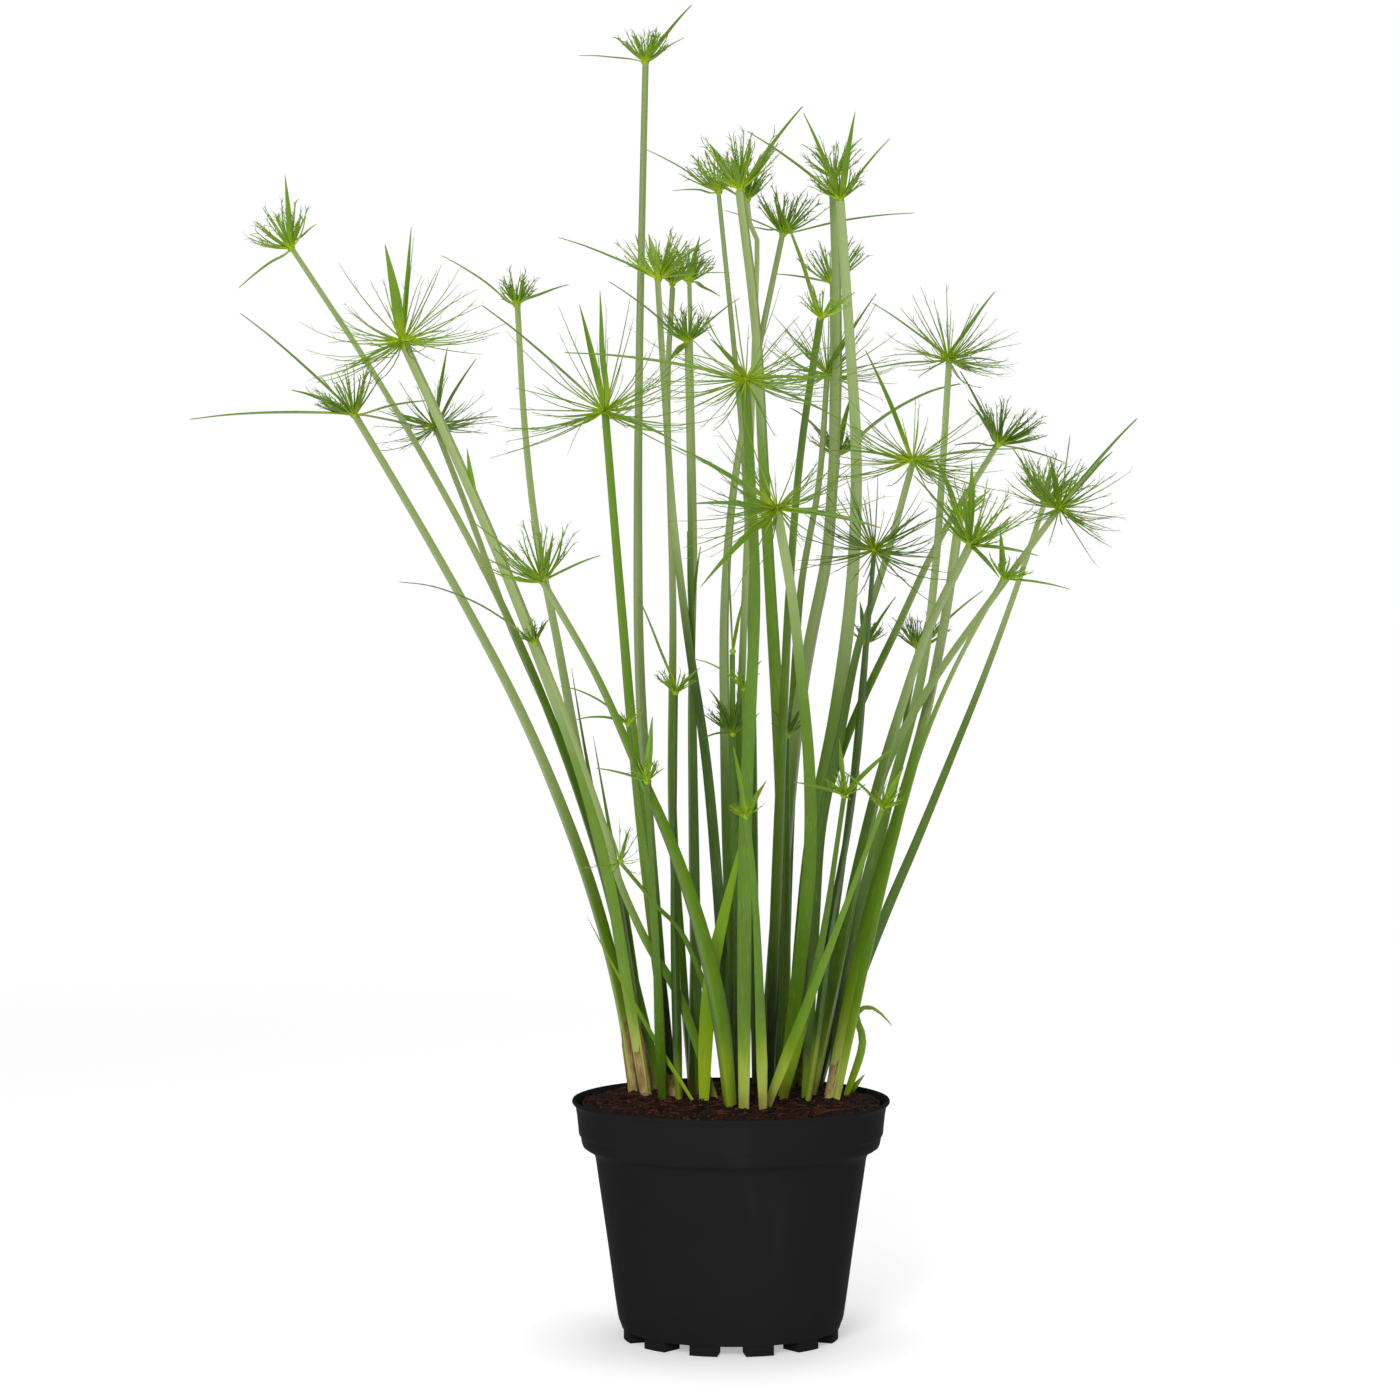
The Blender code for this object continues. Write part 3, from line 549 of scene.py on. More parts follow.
def makeCrumbMaterial():
    # tint x picks the crumb's own brown
    maker = Maker("peat crumbs", Roughness=0.95, Specular_IOR_Level=0.15)
    shade = maker.tint()[0]
    fine = maker.noise(maker.objectPlace(), 1400.0, 2.0)
    colour = maker.mix(shade, screenColour(18, 8, 7), screenColour(112, 60, 39))
    colour = maker.mix(fine * 0.6, colour, screenColour(20, 8, 5))
    return maker.finish(Base_Color=colour, Normal=maker.bump(fine, 0.6, 0.0006))


def makePotMaterial():
    maker = Maker("black pot plastic", Specular_IOR_Level=0.005)
    place = maker.objectPlace()
    cloud = maker.noise(place, 14.0, 3.0)
    grain = maker.noise(place, 2600.0, 2.0, 0.6)
    wisp = maker.noise(maker.stretched(place, (12, 12, 1.5)), 3.0, 3.0)
    colour = maker.mix(cloud, (0.0098, 0.0098, 0.0101), (0.0138, 0.0136, 0.0138))
    colour = maker.mix(maker.between(wisp, 0.62, 0.85) * 0.35, colour, (0.024, 0.022, 0.021))
    rough = 0.5 + grain * 0.06 + cloud * 0.06
    return maker.finish(Base_Color=colour, Roughness=rough, Normal=maker.bump(grain, 0.12, 0.0002))


stemMaterial = makeStemMaterial()
umbelMaterial = makeUmbelMaterial()
sheathMaterial = makeSheathMaterial()
soilMaterial = makeSoilMaterial()
crumbMaterial = makeCrumbMaterial()
potMaterial = makePotMaterial()
print("materials made")


# Pot: rings of radius and height in millimetres, from the underside out, over the lip and down inside

potSettings = dict(
    segments=144, feet=12, footInner=50.0, footOuter=64.6, footHeight=6.0,
    rings=(
        (22, 6), (50, 6), (64.6, 6), (65.3, 6.2), (65.9, 8), (66.9, 10.8), (67.2, 11.4), (67.2, 12.4), (67.6, 13),
        (69.4, 25), (73.3, 54), (77.4, 82.5), (79.5, 97), (80.6, 105), (81.1, 108.2), (82.2, 110.6), (84.6, 112.8),
        (87.0, 113.8), (88.5, 114.9), (89.2, 116.6), (89.7, 119.6), (89.9, 121.0), (90.6, 121.6), (91.0, 122.6),
        (91.3, 126), (92, 133), (92.8, 138.0), (93.5, 139.5), (94.4, 140.2), (94.95, 141.0), (94.95, 142.0),
        (94.6, 142.6), (94.0, 142.8), (93.4, 142.6), (92.9, 141.9), (91.9, 138.8), (90.4, 128), (88.6, 121),
        (86.6, 116.4), (80, 111.5), (78, 97), (66, 10), (40, 9),
    ),
)


def makePot():
    deselectAll()
    rings = potSettings["rings"]
    radius, height = rings[0]
    bpy.ops.mesh.primitive_circle_add(vertices=potSettings["segments"], radius=radius * mm, fill_type="NGON", location=(0, 0, height * mm))
    piece = bpy.context.object
    piece.name = piece.data.name = "nurseryPot"
    bpy.ops.object.transform_apply(location=True, rotation=True, scale=True)
    bpy.ops.object.mode_set(mode="EDIT")
    pickInEdit(piece, "edges", lambda edge: True)
    for (before, low), (after, high) in zip(rings, rings[1:]):
        bpy.ops.mesh.extrude_edges_move(TRANSFORM_OT_translate={"value": (0, 0, (high - low) * mm)})
        bpy.ops.transform.resize(value=(after / before, after / before, 1), center_override=(0, 0, high * mm))
    bpy.ops.mesh.edge_face_add()
    bpy.ops.mesh.select_all(action="SELECT")
    bpy.ops.mesh.normals_make_consistent(inside=False)
    step = 2 * math.pi / potSettings["feet"]

    def onFoot(face):
        middle = face.calc_center_median()
        reach = math.hypot(middle.x, middle.y) / mm
        turn = (math.atan2(middle.y, middle.x) + math.pi / 2) % step
        ring = potSettings["footInner"] < reach < potSettings["footOuter"] and step / 4 < turn < step * 3 / 4
        return face.normal.z < -0.99 and (ring or reach < 1)

    pickInEdit(piece, "faces", onFoot)
    bpy.ops.mesh.extrude_region_move(TRANSFORM_OT_translate={"value": (0, 0, -potSettings["footHeight"] * mm)})
    bpy.ops.object.mode_set(mode="OBJECT")
    bpy.ops.object.shade_smooth_by_angle(angle=math.radians(32))
    piece.data.materials.append(potMaterial)
    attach(piece, "root")
    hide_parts("pot")
    return piece


makePot()
print("pot made")


# Soil: a turned heap with an uneven top, then crumbs and fibres on it

soilSettings = dict(segments=120, rings=46, reach=89.0, level=78.0, drop=1.4, rough=0.8, floor=126.0)


def roughness2d(x, y, seed, waves=26):
    rng = np.random.default_rng(seed)
    total = np.zeros_like(x)
    for i in range(waves):
        length = rng.uniform(2.5, 26.0)
        turn = rng.uniform(0, 2 * math.pi)
        total += np.sin((x * math.cos(turn) + y * math.sin(turn)) * 2 * math.pi / length + rng.uniform(0, 6.28)) * length**0.5
    return total / (waves * 1.6)


def soilHeight(x, y):
    reach = np.hypot(x, y)
    edge = np.clip((reach - soilSettings["level"]) / (soilSettings["reach"] - soilSettings["level"]), 0, 1)
    return soilTop - 0.3 - soilSettings["drop"] * edge**1.5 + roughness2d(x, y, 5) * soilSettings["rough"] * 1.6


def makeSoil():
    deselectAll()
    first = soilSettings["reach"] / soilSettings["rings"]
    bpy.ops.mesh.primitive_circle_add(vertices=soilSettings["segments"], radius=first * mm, fill_type="NGON", location=(0, 0, soilTop * mm))
    piece = bpy.context.object
    piece.name = piece.data.name = "peatSoil"
    bpy.ops.object.transform_apply(location=True, rotation=True, scale=True)
    bpy.ops.object.mode_set(mode="EDIT")
    pickInEdit(piece, "edges", lambda edge: True)
    for i in range(1, soilSettings["rings"]):
        bpy.ops.mesh.extrude_edges_move(TRANSFORM_OT_translate={"value": (0, 0, 0)})
        bpy.ops.transform.resize(value=((i + 1) / i, (i + 1) / i, 1), center_override=(0, 0, 0))
    bpy.ops.mesh.extrude_edges_move(TRANSFORM_OT_translate={"value": (0, 0, (soilSettings["floor"] - soilTop) * mm)})
    bpy.ops.transform.resize(value=(0.98, 0.98, 1), center_override=(0, 0, soilSettings["floor"] * mm))
    bpy.ops.mesh.edge_face_add()
    bpy.ops.mesh.select_all(action="SELECT")
    bpy.ops.mesh.normals_make_consistent(inside=False)
    bpy.ops.object.mode_set(mode="OBJECT")
    mesh = piece.data
    co = np.empty(len(mesh.vertices) * 3)
    mesh.vertices.foreach_get("co", co)
    co = co.reshape(-1, 3)
    top = co[:, 2] > (soilTop - 1) * mm
    co[top, 2] = soilHeight(co[top, 0] / mm, co[top, 1] / mm) * mm
    mesh.vertices.foreach_set("co", co.ravel())
    mesh.update()
    bpy.ops.object.shade_smooth_by_angle(angle=math.radians(50))
    mesh.materials.append(soilMaterial)
    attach(piece, "root")
    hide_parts("soil")
    return piece


litterSettings = dict(crumbs=1700, fibres=420, crumbSize=(0.9, 3.4), fibreLength=(3, 13), seed=11)


def makeLitter():
    rng = random.Random(litterSettings["seed"])
    crumbs, fibres = [], []
    for i in range(litterSettings["crumbs"]):
        turn, reach = rng.uniform(0, 6.283), 88 * math.sqrt(rng.random())
        x, y = reach * math.cos(turn), reach * math.sin(turn)
        size = rng.uniform(0, 1) ** 2 * (litterSettings["crumbSize"][1] - litterSettings["crumbSize"][0]) + litterSettings["crumbSize"][0]
        stretch = np.array((size * rng.uniform(0.8, 1.6), size, size * rng.uniform(0.6, 1)))
        point = np.array((x, y, float(soilHeight(np.array(x), np.array(y))) + size * 0.12))
        crumbs.append(placeBlank(crumbBlank, point, stretch, rng.uniform(0, 6.283), (rng.random() ** 3.4, 0, 0)))
    for i in range(litterSettings["fibres"]):
        turn, reach = rng.uniform(0, 6.283), 86 * math.sqrt(rng.random())
        x, y = reach * math.cos(turn), reach * math.sin(turn)
        z = float(soilHeight(np.array(x), np.array(y))) + 0.5
        length = rng.uniform(*litterSettings["fibreLength"])
        way = rng.uniform(0, 6.283)
        start = np.array((x, y, z - 0.4))
        end = start + length * np.array((math.cos(way), math.sin(way), rng.uniform(-0.08, 0.22)))
        if math.hypot(end[0], end[1]) > 88:
            continue
        middle = (start + end) / 2 + np.array((rng.uniform(-2, 2), rng.uniform(-2, 2), rng.uniform(0.2, 1.6)))
        fibres.append(layAlong(rayBlank, bendLine(start, middle, end), rng.uniform(0.3, 0.75), tint=(rng.uniform(0.35, 1.0), 0, 0)))
    joinShapes("peatCrumbs", crumbs, crumbMaterial, angle=60)
    joinShapes("peatFibres", fibres, crumbMaterial, angle=60)


makeSoil()
makeLitter()
print("soil made")


# Culms: the line of each is read from its CAD node, or given here for those that the solids leave out.
# looks: the height where it turns grey-green, how deep its green is lower down (partly painted shade), and how pale its
# base is, or below 0 how much painted shade darkens it

culmLooks = dict(
    left_tip=(0.43, 0.5, 0.3), left_big=(0.36, 0.0, 0.9), left_low=(0.3, 0.2, 0.9), left_back=(0.42, 0.2, 0.0),
    left_inner=(0.33, 0.2, -0.3), mid_left=(0.62, 0.1, -1.0), tallest=(0.28, 0.1, -0.3), centre_left=(0.44, 0.85, 0.15),
    centre_back=(0.4, 0.5, -0.5), centre_tall=(0.54, 0.05, 0.0), right_tall=(0.4, 0.3, -0.2), centre_right=(0.34, 0.3, -0.2),
    front_big=(0.6, 0.25, 0.6), right_mid=(0.45, 0.2, 0.0), right_wide=(0.38, 0.3, -0.6), right_front=(0.44, 0.65, 0.2),
    right_outer=(0.43, 0.3, 0.0), far_right=(0.4, 0.35, 0.0), far_right_low=(0.36, 0.3, 0.3), right_low=(0.36, 0.5, 0.7),
    front_right=(0.42, 0.3, 0.6), thin_dark=(0.6, 0.85, 0.5), left_slanting=(0.4, 0.1, 0.4), right_fresh=(0.36, 0.1, 1.0),
    right_inner=(0.7, 0.35, -0.9), centre_short=(0.5, 0.7, 0.35), left_short=(0.5, 0.5, 0.0), centre_inner=(0.5, 0.6, -0.2),
    right_small=(0.5, 0.4, 0.4), front_short=(0.6, 0.3, 0.65), front_leaning=(0.6, 0.0, 0.6), right_back=(0.42, 0.5, -0.6),
    centre_thin=(0.4, 0.3, -0.4), far_right_fresh=(0.38, 0.15, 0.6), right_short=(0.5, 0.6, -0.3), right_back_low=(0.42, 0.5, -0.4),
)

# bright, deep and brown for the limbs, extra rays, their leans from the axis, width, curl and forked tips
umbelStyles = {
    "cup": dict(extra=34, lean=(6, 64), width=1.6, curl=0.35, forks=4, fork=(3.0, 6.5), forkWidth=0.6, reach=(0.7, 1.12)),
    "spray": dict(extra=62, lean=(12, 116), width=1.05, curl=0.75, forks=2, fork=(3.0, 8.0), forkWidth=0.3, reach=(0.6, 1.2)),
    "tuft": dict(extra=18, lean=(5, 58), width=1.4, curl=0.3, forks=3, fork=(2.0, 4.5), forkWidth=0.55, reach=(0.7, 1.2)),
}

umbelLooks = dict(
    left_tip=("cup", 0.75, 0.0), left_big=("spray", 0.7, 0.1), left_low=("cup", 0.5, 0.2), left_back=("spray", 0.35, 0.3),
    left_inner=("cup", 0.6, 0.15), mid_left=("spray", 0.5, 0.15), tallest=("cup", 0.8, 0.1), centre_left=("cup", 0.9, 0.0),
    centre_back=("cup", 0.7, 0.1), centre_tall=("cup", 0.7, 0.1), right_tall=("cup", 0.7, 0.1), centre_right=("cup", 0.5, 0.2),
    front_big=("spray", 0.5, 0.1), right_mid=("spray", 0.5, 0.1), right_wide=("spray", 0.5, 0.15), right_front=("spray", 0.5, 0.15),
    right_outer=("cup", 0.3, 0.4), far_right=("cup", 0.8, 0.1), far_right_low=("spray", 0.35, 0.3), right_low=("cup", 0.6, 0.1),
    front_right=("spray", 0.4, 0.2), centre_thin=("cup", 0.6, 0.2), centre_inner=("cup", 0.5, 0.3), right_back=("cup", 0.6, 0.1),
    right_inner=("tuft", 1.0, 0.0), right_fresh=("tuft", 1.0, 0.0), far_right_fresh=("tuft", 1.0, 0.0), thin_dark=("spray", 0.1, 0.6),
    left_slanting=("cup", 0.6, 0.1), centre_short=("tuft", 0.6, 0.1), right_short=("tuft", 0.5, 0.4), right_back_low=("cup", 0.5, 0.2),
    right_small=("tuft", 0.7, 0.1), front_leaning=("tuft", 0.8, 0.0), front_short=("tuft", 0.9, 0.0), left_short=("tuft", 0.7, 0.1),
)


def readNode(name):
    # the node's points and neighbours, with its doubled corners merged
    mesh = frame["nodes"][name].data
    co = np.empty(len(mesh.vertices) * 3)
    mesh.vertices.foreach_get("co", co)
    co = np.round(co.reshape(-1, 3), 5)
    points, index = np.unique(co, axis=0, return_inverse=True)
    index = index.ravel()
    corner = np.empty(len(mesh.loops), int)
    mesh.loops.foreach_get("vertex_index", corner)
    triangles = index[corner].reshape(-1, 3)
    near = [set() for point in points]
    for a, b, c in triangles:
        near[a] |= {b, c}
        near[b] |= {a, c}
        near[c] |= {a, b}
    return points / mm, near


def ringsFrom(start, near, size, most):
    # the rings of points that follow one another from the first
    rings, seen, ring = [sorted(start)], set(start), set(start)
    while len(rings) < most:
        ring = set().union(*(near[i] for i in ring)) - seen
        if len(ring) != size:
            break
        rings.append(sorted(ring))
        seen |= ring
    return rings


def stemFromNode(points, near, size, most):
    foot = set(np.flatnonzero(points[:, 2] < points[:, 2].min() + 0.2).tolist())
    rings = ringsFrom(foot, near, size, most)
    line = np.array([points[ring].mean(0) for ring in rings])
    radii = [np.linalg.norm(points[ring] - points[ring].mean(0), axis=1).mean() for ring in rings]
    return line, np.array(radii), set().union(*map(set, rings))


def limbsFromNode(points, near, taken):
    # bracts and rays, each from the first ring out of the hub to its tip, with the bract's width
    bracts, rays, used = [], [], set(taken)
    for apex in range(len(points)):
        if apex in taken or len(near[apex]) != 3 or any(len(near[i] & near[apex]) != 2 for i in near[apex]):
            continue
        rings = ringsFrom(near[apex], [around - {apex} for around in near], 3, 5)[:-1]
        line = [points[ring].mean(0) for ring in rings[::-1]] + [points[apex]]
        width = max(np.linalg.norm(points[a] - points[b]) for a in rings[0] for b in rings[0])
        if len(rings) >= 2:
            middle = rings[len(rings) // 2]
            width = max(np.linalg.norm(points[a] - points[b]) for a in middle for b in middle)
            bracts.append((np.array(line), width))
        else:
            rays.append((np.array(line), width))
        used |= {apex}.union(*map(set, rings))
    hub = points[[i for i in range(len(points)) if i not in used]]
    return bracts, rays, hub.mean(0)


def girth(top, base, count):
    # half the width up a culm: it swells above its foot and then narrows to its head
    t = np.linspace(0, 1, count)
    swollen = 1.45 * base
    return np.where(t < 0.2, base + (swollen - base) * t / 0.2, top + (swollen - top) * ((1 - t) / 0.8) ** 1.5) / 2


def layStem(line, radii, look, rng, further=0.0):
    # further is how far the stalk runs on into its umbel
    line = smoothLine(line, stemSettings["stations"])
    line = np.vstack((line, line[-1] + unit(line[-1] - line[-2]) * max(further, 0.1)))
    widths = np.interp(np.linspace(0, 1, len(line)), np.linspace(0, 1, len(radii)), radii)
    tint = (look[0], look[1] + rng.uniform(-0.06, 0.06), look[2])
    return layAlong(stemBlank, line, widths, upper=(0, -1, 0), twist=rng.uniform(-0.9, 0.9), tint=tint)


def layBract(line, width, axis, bright, deep, rng, brown=None):
    chord = line[-1] - line[0]
    flat = unit(np.array((chord[0], chord[1], 0.0)))
    tint = (bright * 0.45, deep + rng.uniform(0, 0.15), rng.random() ** 2 if brown is None else brown)
    line = smoothLine(line, 15)
    return layAlong(bractBlank, line, width, upper=axis - 0.5 * flat, tint=tint)


def layRay(shapes, start, way, end, style, bright, deep, rng, width=None):
    # one ray from the hub, bent towards its end, with forked tips
    length = np.linalg.norm(end - start)
    lean = way - up * way[2]
    control = start + way * length * 0.52 - up * 0.06 * length * np.linalg.norm(lean)
    line = bendLine(start, control, end)
    wide = (width or style["width"]) * rng.uniform(0.8, 1.15)
    upper = unit(np.cross(way, np.cross(up, way)) + np.array((0.01, 0.02, 0)))
    shapes.append(layAlong(rayBlank, line, wide, upper=upper, twist=rng.uniform(0, 2), tint=(bright, deep + rng.uniform(0, 0.2), 0.4)))
    ending = unit(line[-1] - line[-2])
    for k in range(style["forks"]):
        part = rng.uniform(0.55, 0.98)
        place = start * (1 - part) ** 2 + 2 * control * part * (1 - part) + end * part**2
        aside = unit(np.cross(ending, np.array([rng.uniform(-1, 1) for j in range(3)])))
        tipWay = unit(ending + aside * rng.uniform(0.25, 0.75))
        size = rng.uniform(*style["fork"])
        tip = place + tipWay * size
        shapes.append(layAlong(
            rayBlank, bendLine(place, place + ending * size * 0.4, tip), style["forkWidth"] * rng.uniform(0.7, 1.2),
            upper=aside, tint=(bright * 0.6, deep + 0.25, 1.0),
        ))


def umbelShapes(name, bracts, rays, centre, axis, hubSize, ray, rng):
    sort, bright, deep = umbelLooks.get(name, ("cup", 0.5, 0.2))
    style = umbelStyles[sort]
    shapes = [layAlong(hubBlank, np.array((centre - axis * hubSize * 0.6, centre + axis * hubSize * 0.5)), hubSize * 1.15, tint=(1.0, 0, 0))]
    for line, width in bracts:
        shapes.append(layBract(np.vstack((centre, line)), width, axis, bright, deep, rng))
    for line, width in rays:
        way = unit(line[0] - centre)
        layRay(shapes, centre + way * hubSize * 0.3, way, line[-1], style, bright, deep, rng)
    side = unit(np.cross(axis, (0.3, 1, 0.1)))
    other = np.cross(axis, side)
    for k in range(style["extra"]):
        low, high = style["lean"]
        lean = math.radians(low + (high - low) * math.sqrt(rng.random()))
        turn = rng.uniform(0, 2 * math.pi)
        way = axis * math.cos(lean) + (side * math.cos(turn) + other * math.sin(turn)) * math.sin(lean)
        length = ray * rng.uniform(*style["reach"])
        curl = style["curl"] * rng.uniform(-0.25, 1.0) * math.sin(lean)
        end = centre + way * length * 0.5 + unit(way + up * curl) * length * 0.5
        layRay(shapes, centre + way * hubSize * 0.3, way, end, style, bright, deep, rng)
    return shapes


def nodeTitle(name):
    first, *others = name.split("_")
    return first + "".join(word.capitalize() for word in others)


def makeCulms():
    for seed, name in enumerate(sorted(frame["nodes"])):
        rng = random.Random(seed)
        kind, rest = name.partition("_")[::2]
        look = culmLooks.get(rest)
        if kind == "stem":
            points, near = readNode(name)
            line, radii, taken = stemFromNode(points, near, 6, 99)
            joinShapes(nodeTitle(name), [layStem(line, radii, look, rng, 3.2)], stemMaterial, (name,))
        elif kind == "umbel":
            points, near = readNode(name)
            stemPoints, stemNear = readNode("stem_" + rest)
            stemLine = stemFromNode(stemPoints, stemNear, 6, 99)[0]
            bracts, rays, centre = limbsFromNode(points, near, set())
            axis = unit(unit(stemLine[-1] - stemLine[-2]) + 0.35 * up)
            ray = float(np.mean([np.linalg.norm(line[-1] - centre) for line, width in rays]))
            shapes = umbelShapes(rest, bracts, rays, centre, axis, 4.4, ray, rng)
            joinShapes(nodeTitle(name), shapes, umbelMaterial, (name,), angle=60)
        elif kind == "shoot":
            points, near = readNode(name)
            line, radii, taken = stemFromNode(points, near, 3, 7)
            bracts, rays, centre = limbsFromNode(points, near, taken)
            axis = unit(unit(line[-1] - line[-2]) + 0.35 * up)
            ray = float(np.mean([np.linalg.norm(limb[-1] - centre) for limb, width in rays]))
            joinShapes(nodeTitle("shoot_stalk_" + rest), [layStem(np.vstack((line, centre)), np.append(radii, radii[-1]), look, rng)], stemMaterial)
            shapes = umbelShapes(rest, bracts, rays, centre, axis, 3.6, ray, rng)
            joinShapes(nodeTitle(name), shapes, umbelMaterial, (name,), angle=60)


makeCulms()
print("culms made")


# Culms and leaves that are left out of the solids, laid out on the front view as in the solids

# their looks read as in culmLooks: a base below 0 is painted shade at the foot, and the deep green is partly painted
# shade
extraCulms = {
    "rightBroad": dict(foot=(30, 70), bends=((37, 345), (50, 428), (57, 465)), head=(63, 524, 110), width=(3.2, 4.4), ray=20,
                       style=("cup", 0.5, 0.2), looks=(0.4, 0.3, -0.4), bracts=((78, 12, 46, 7.0), (-30, -12, 30, 4.0), (10, 16, 40, 4.0))),
    "centreFar": dict(foot=(-24, 64), bends=((-35, 303), (-35, 440), (-38, 559)), head=(-35, 626, 30), width=(3.0, 4.0), ray=22, style=("cup", 0.8, 0.1),
                      looks=(0.42, 0.05, 0.0), bracts=((-20, 14, 18, 3.4), (24, -10, 20, 3.4))),
    "rightBehind": dict(foot=(20, 53), bends=((38, 351), (50, 428), (58, 470), (63, 559), (63, 625)), head=(61, 689, 90), width=(5.2, 6.0), ray=24,
                        style=("cup", 0.7, 0.1), looks=(0.34, 0.1, -0.5), bracts=((-20, 10, 22, 3.6), (18, 14, 26, 3.6))),
    "centreDark": dict(foot=(-2, 76), bends=((15, 619), (13, 652)), head=(10, 676, 72), width=(2.8, 4.0), ray=22, style=("cup", 0.5, 0.3),
                       looks=(0.4, 0.4, -0.5), bracts=((16, 10, 22, 3.2), (-16, -8, 20, 3.2))),
    "leftTuft": dict(foot=(-9, 5), bends=((-31, 203), (-50, 235), (-67, 273), (-76, 306), (-102, 381)), head=(-116, 413, -40), width=(2.6, 3.6), ray=13,
                     style=("tuft", 0.3, 0.4), looks=(0.26, 0.1, 0.2), bracts=((-79, -12, 36, 3.4), (8, 10, 14, 3.0))),
    "leftInnerLow": dict(foot=(-39, 12), bends=((-45, 240), (-52, 303)), head=(-61, 365, -74), width=(2.4, 3.4), ray=11, style=("tuft", 0.7, 0.1),
                         looks=(0.4, 0.3, 0.0), bracts=((-39, -10, 22, 3.2), (-33, 10, 1, 3.0))),
    "centreBud": dict(foot=(-24, 30), bends=((-22, 250),), head=(-24, 424, 4), width=(3.6, 4.0), ray=8, style=("bud", 0.6, 0.1),
                      looks=(0.5, 0.4, -0.3), bracts=((-2, -2, 56, 3.6), (6, 3, 47, 3.6))),
    "middleBud": dict(foot=(2, 30), bends=((2, 250),), head=(1, 408, -40), width=(3.0, 3.8), ray=8, style=("bud", 0.6, 0.1),
                      looks=(0.5, 0.4, -0.5), bracts=((-3, -2, 57, 3.2), (7, 3, 33, 3.0))),
    "middleLow": dict(foot=(9, -10), bends=((9, 250),), head=(8, 386, -82), width=(2.4, 3.4), ray=12, style=("tuft", 0.8, 0.0),
                      looks=(0.5, 0.3, 0.0), bracts=((-29, -6, 17, 3.2), (10, 6, 16, 3.0))),
    "middleDark": dict(foot=(4, 10), bends=((4, 240),), head=(1, 359, -32), width=(2.4, 3.4), ray=21, style=("cup", 0.1, 0.6),
                       looks=(0.6, 0.7, -0.6), bracts=((-18, -8, -3, 3.0), (-14, 8, 26, 3.4))),
    "rightDark": dict(foot=(33, 23), bends=((34, 240),), head=(34, 358, 4), width=(2.4, 3.4), ray=14, style=("tuft", 0.1, 0.6),
                      looks=(0.6, 0.5, -0.3), bracts=((10, 8, 18, 3.0), (-10, -8, 16, 3.0))),
    "leftDry": dict(foot=(8, 24), bends=((-24, 232), (-45, 259)), head=(-65, 283, -60), width=(2.0, 3.2), ray=17, style=("dry", 0.2, 0.0),
                    looks=(0.5, 0.2, 0.0), bracts=((-10, -8, 26, 3.0), (6, 6, 20, 2.6))),
}
umbelStyles["bud"] = dict(extra=0, lean=(4, 20), width=1.0, curl=0.1, forks=0, fork=(1.0, 2.0), forkWidth=0.4, reach=(0.6, 1.0))
umbelStyles["dry"] = dict(extra=22, lean=(20, 105), width=0.6, curl=0.5, forks=3, fork=(2.0, 6.0), forkWidth=0.4, reach=(0.6, 1.9))


def makeExtraCulms():
    for seed, (name, culm) in enumerate(extraCulms.items()):
        rng = random.Random(200 + seed)
        x, z, depth = culm["head"]
        footX, footY = culm["foot"]
        knots = [np.array((footX, footY, soilTop - 3.0))]
        for bendX, bendZ in culm["bends"]:
            t = (bendZ - soilTop) / (z - soilTop)
            knots.append(atDepth(bendX, bendZ, footY + (depth - footY) * t**1.3))
        knots.append(atDepth(x, z, depth))
        top, base = culm["width"]
        line = smoothLine(knots, 30)
        radii = girth(top, base, 30)
        way = unit(line[-1] - line[-2])
        axis = unit(way + 0.35 * up)
        centre = line[-1] + way * 2.0
        umbelLooks[name] = culm["style"]
        bracts = []
        for bx, by, bz, width in culm["bracts"]:
            chord = np.array((bx, by, bz), float)
            t = np.array((0.15, 0.42, 0.74, 1.0))[:, None]
            bracts.append((centre + chord * t + up * 0.1 * np.linalg.norm(chord) * 4 * t * (1 - t), width))
        joinShapes("culm" + name[0].upper() + name[1:], [layStem(line, radii, culm["looks"], rng)], stemMaterial)
        shapes = umbelShapes(name, bracts, [], centre, axis, 3.6, culm["ray"], rng)
        joinShapes("umbel" + name[0].upper() + name[1:], shapes, umbelMaterial, angle=60)


# leaves: from the foot (x and y on the soil) through x and z in the front view, at the depth of the foot and of the tip
extraLeaves = {
    "leafLeftTall": dict(foot=(-48, 40), line=((-62, 250), (-70, 291), (-82, 359)), depth=(40, 60), width=3.8, tint=(0.2, 0.2, 0.2)),
    "leafLeftBack": dict(foot=(-55, 55), line=((-78, 300), (-88, 357), (-95, 400)), depth=(55, 70), width=3.8, tint=(0.2, 0.3, 0.2)),
    "leafLeftThin": dict(foot=(-22, -7), line=((-42, 172), (-66, 214), (-86, 252)), depth=(-7, -34), width=2.6, tint=(0.3, 0.1, 0.5)),
    "leafFront": dict(foot=(-16, -1), line=((-15, 178), (-11, 221), (0, 270), (9, 306)), depth=(-6, -60), width=8.6, tint=(0.6, 0.0, 0.1)),
    "leafStub": dict(foot=(68, 28), line=((72, 148), (80, 157)), depth=(20, 20), width=4.2, tint=(0.6, 0.0, 0.6)),
    "leafUpper": dict(foot=None, line=((-152, 500), (-155, 516), (-157, 531)), depth=(-40, -46), width=3.4, tint=(0.3, 0.1, 0.1)),
}


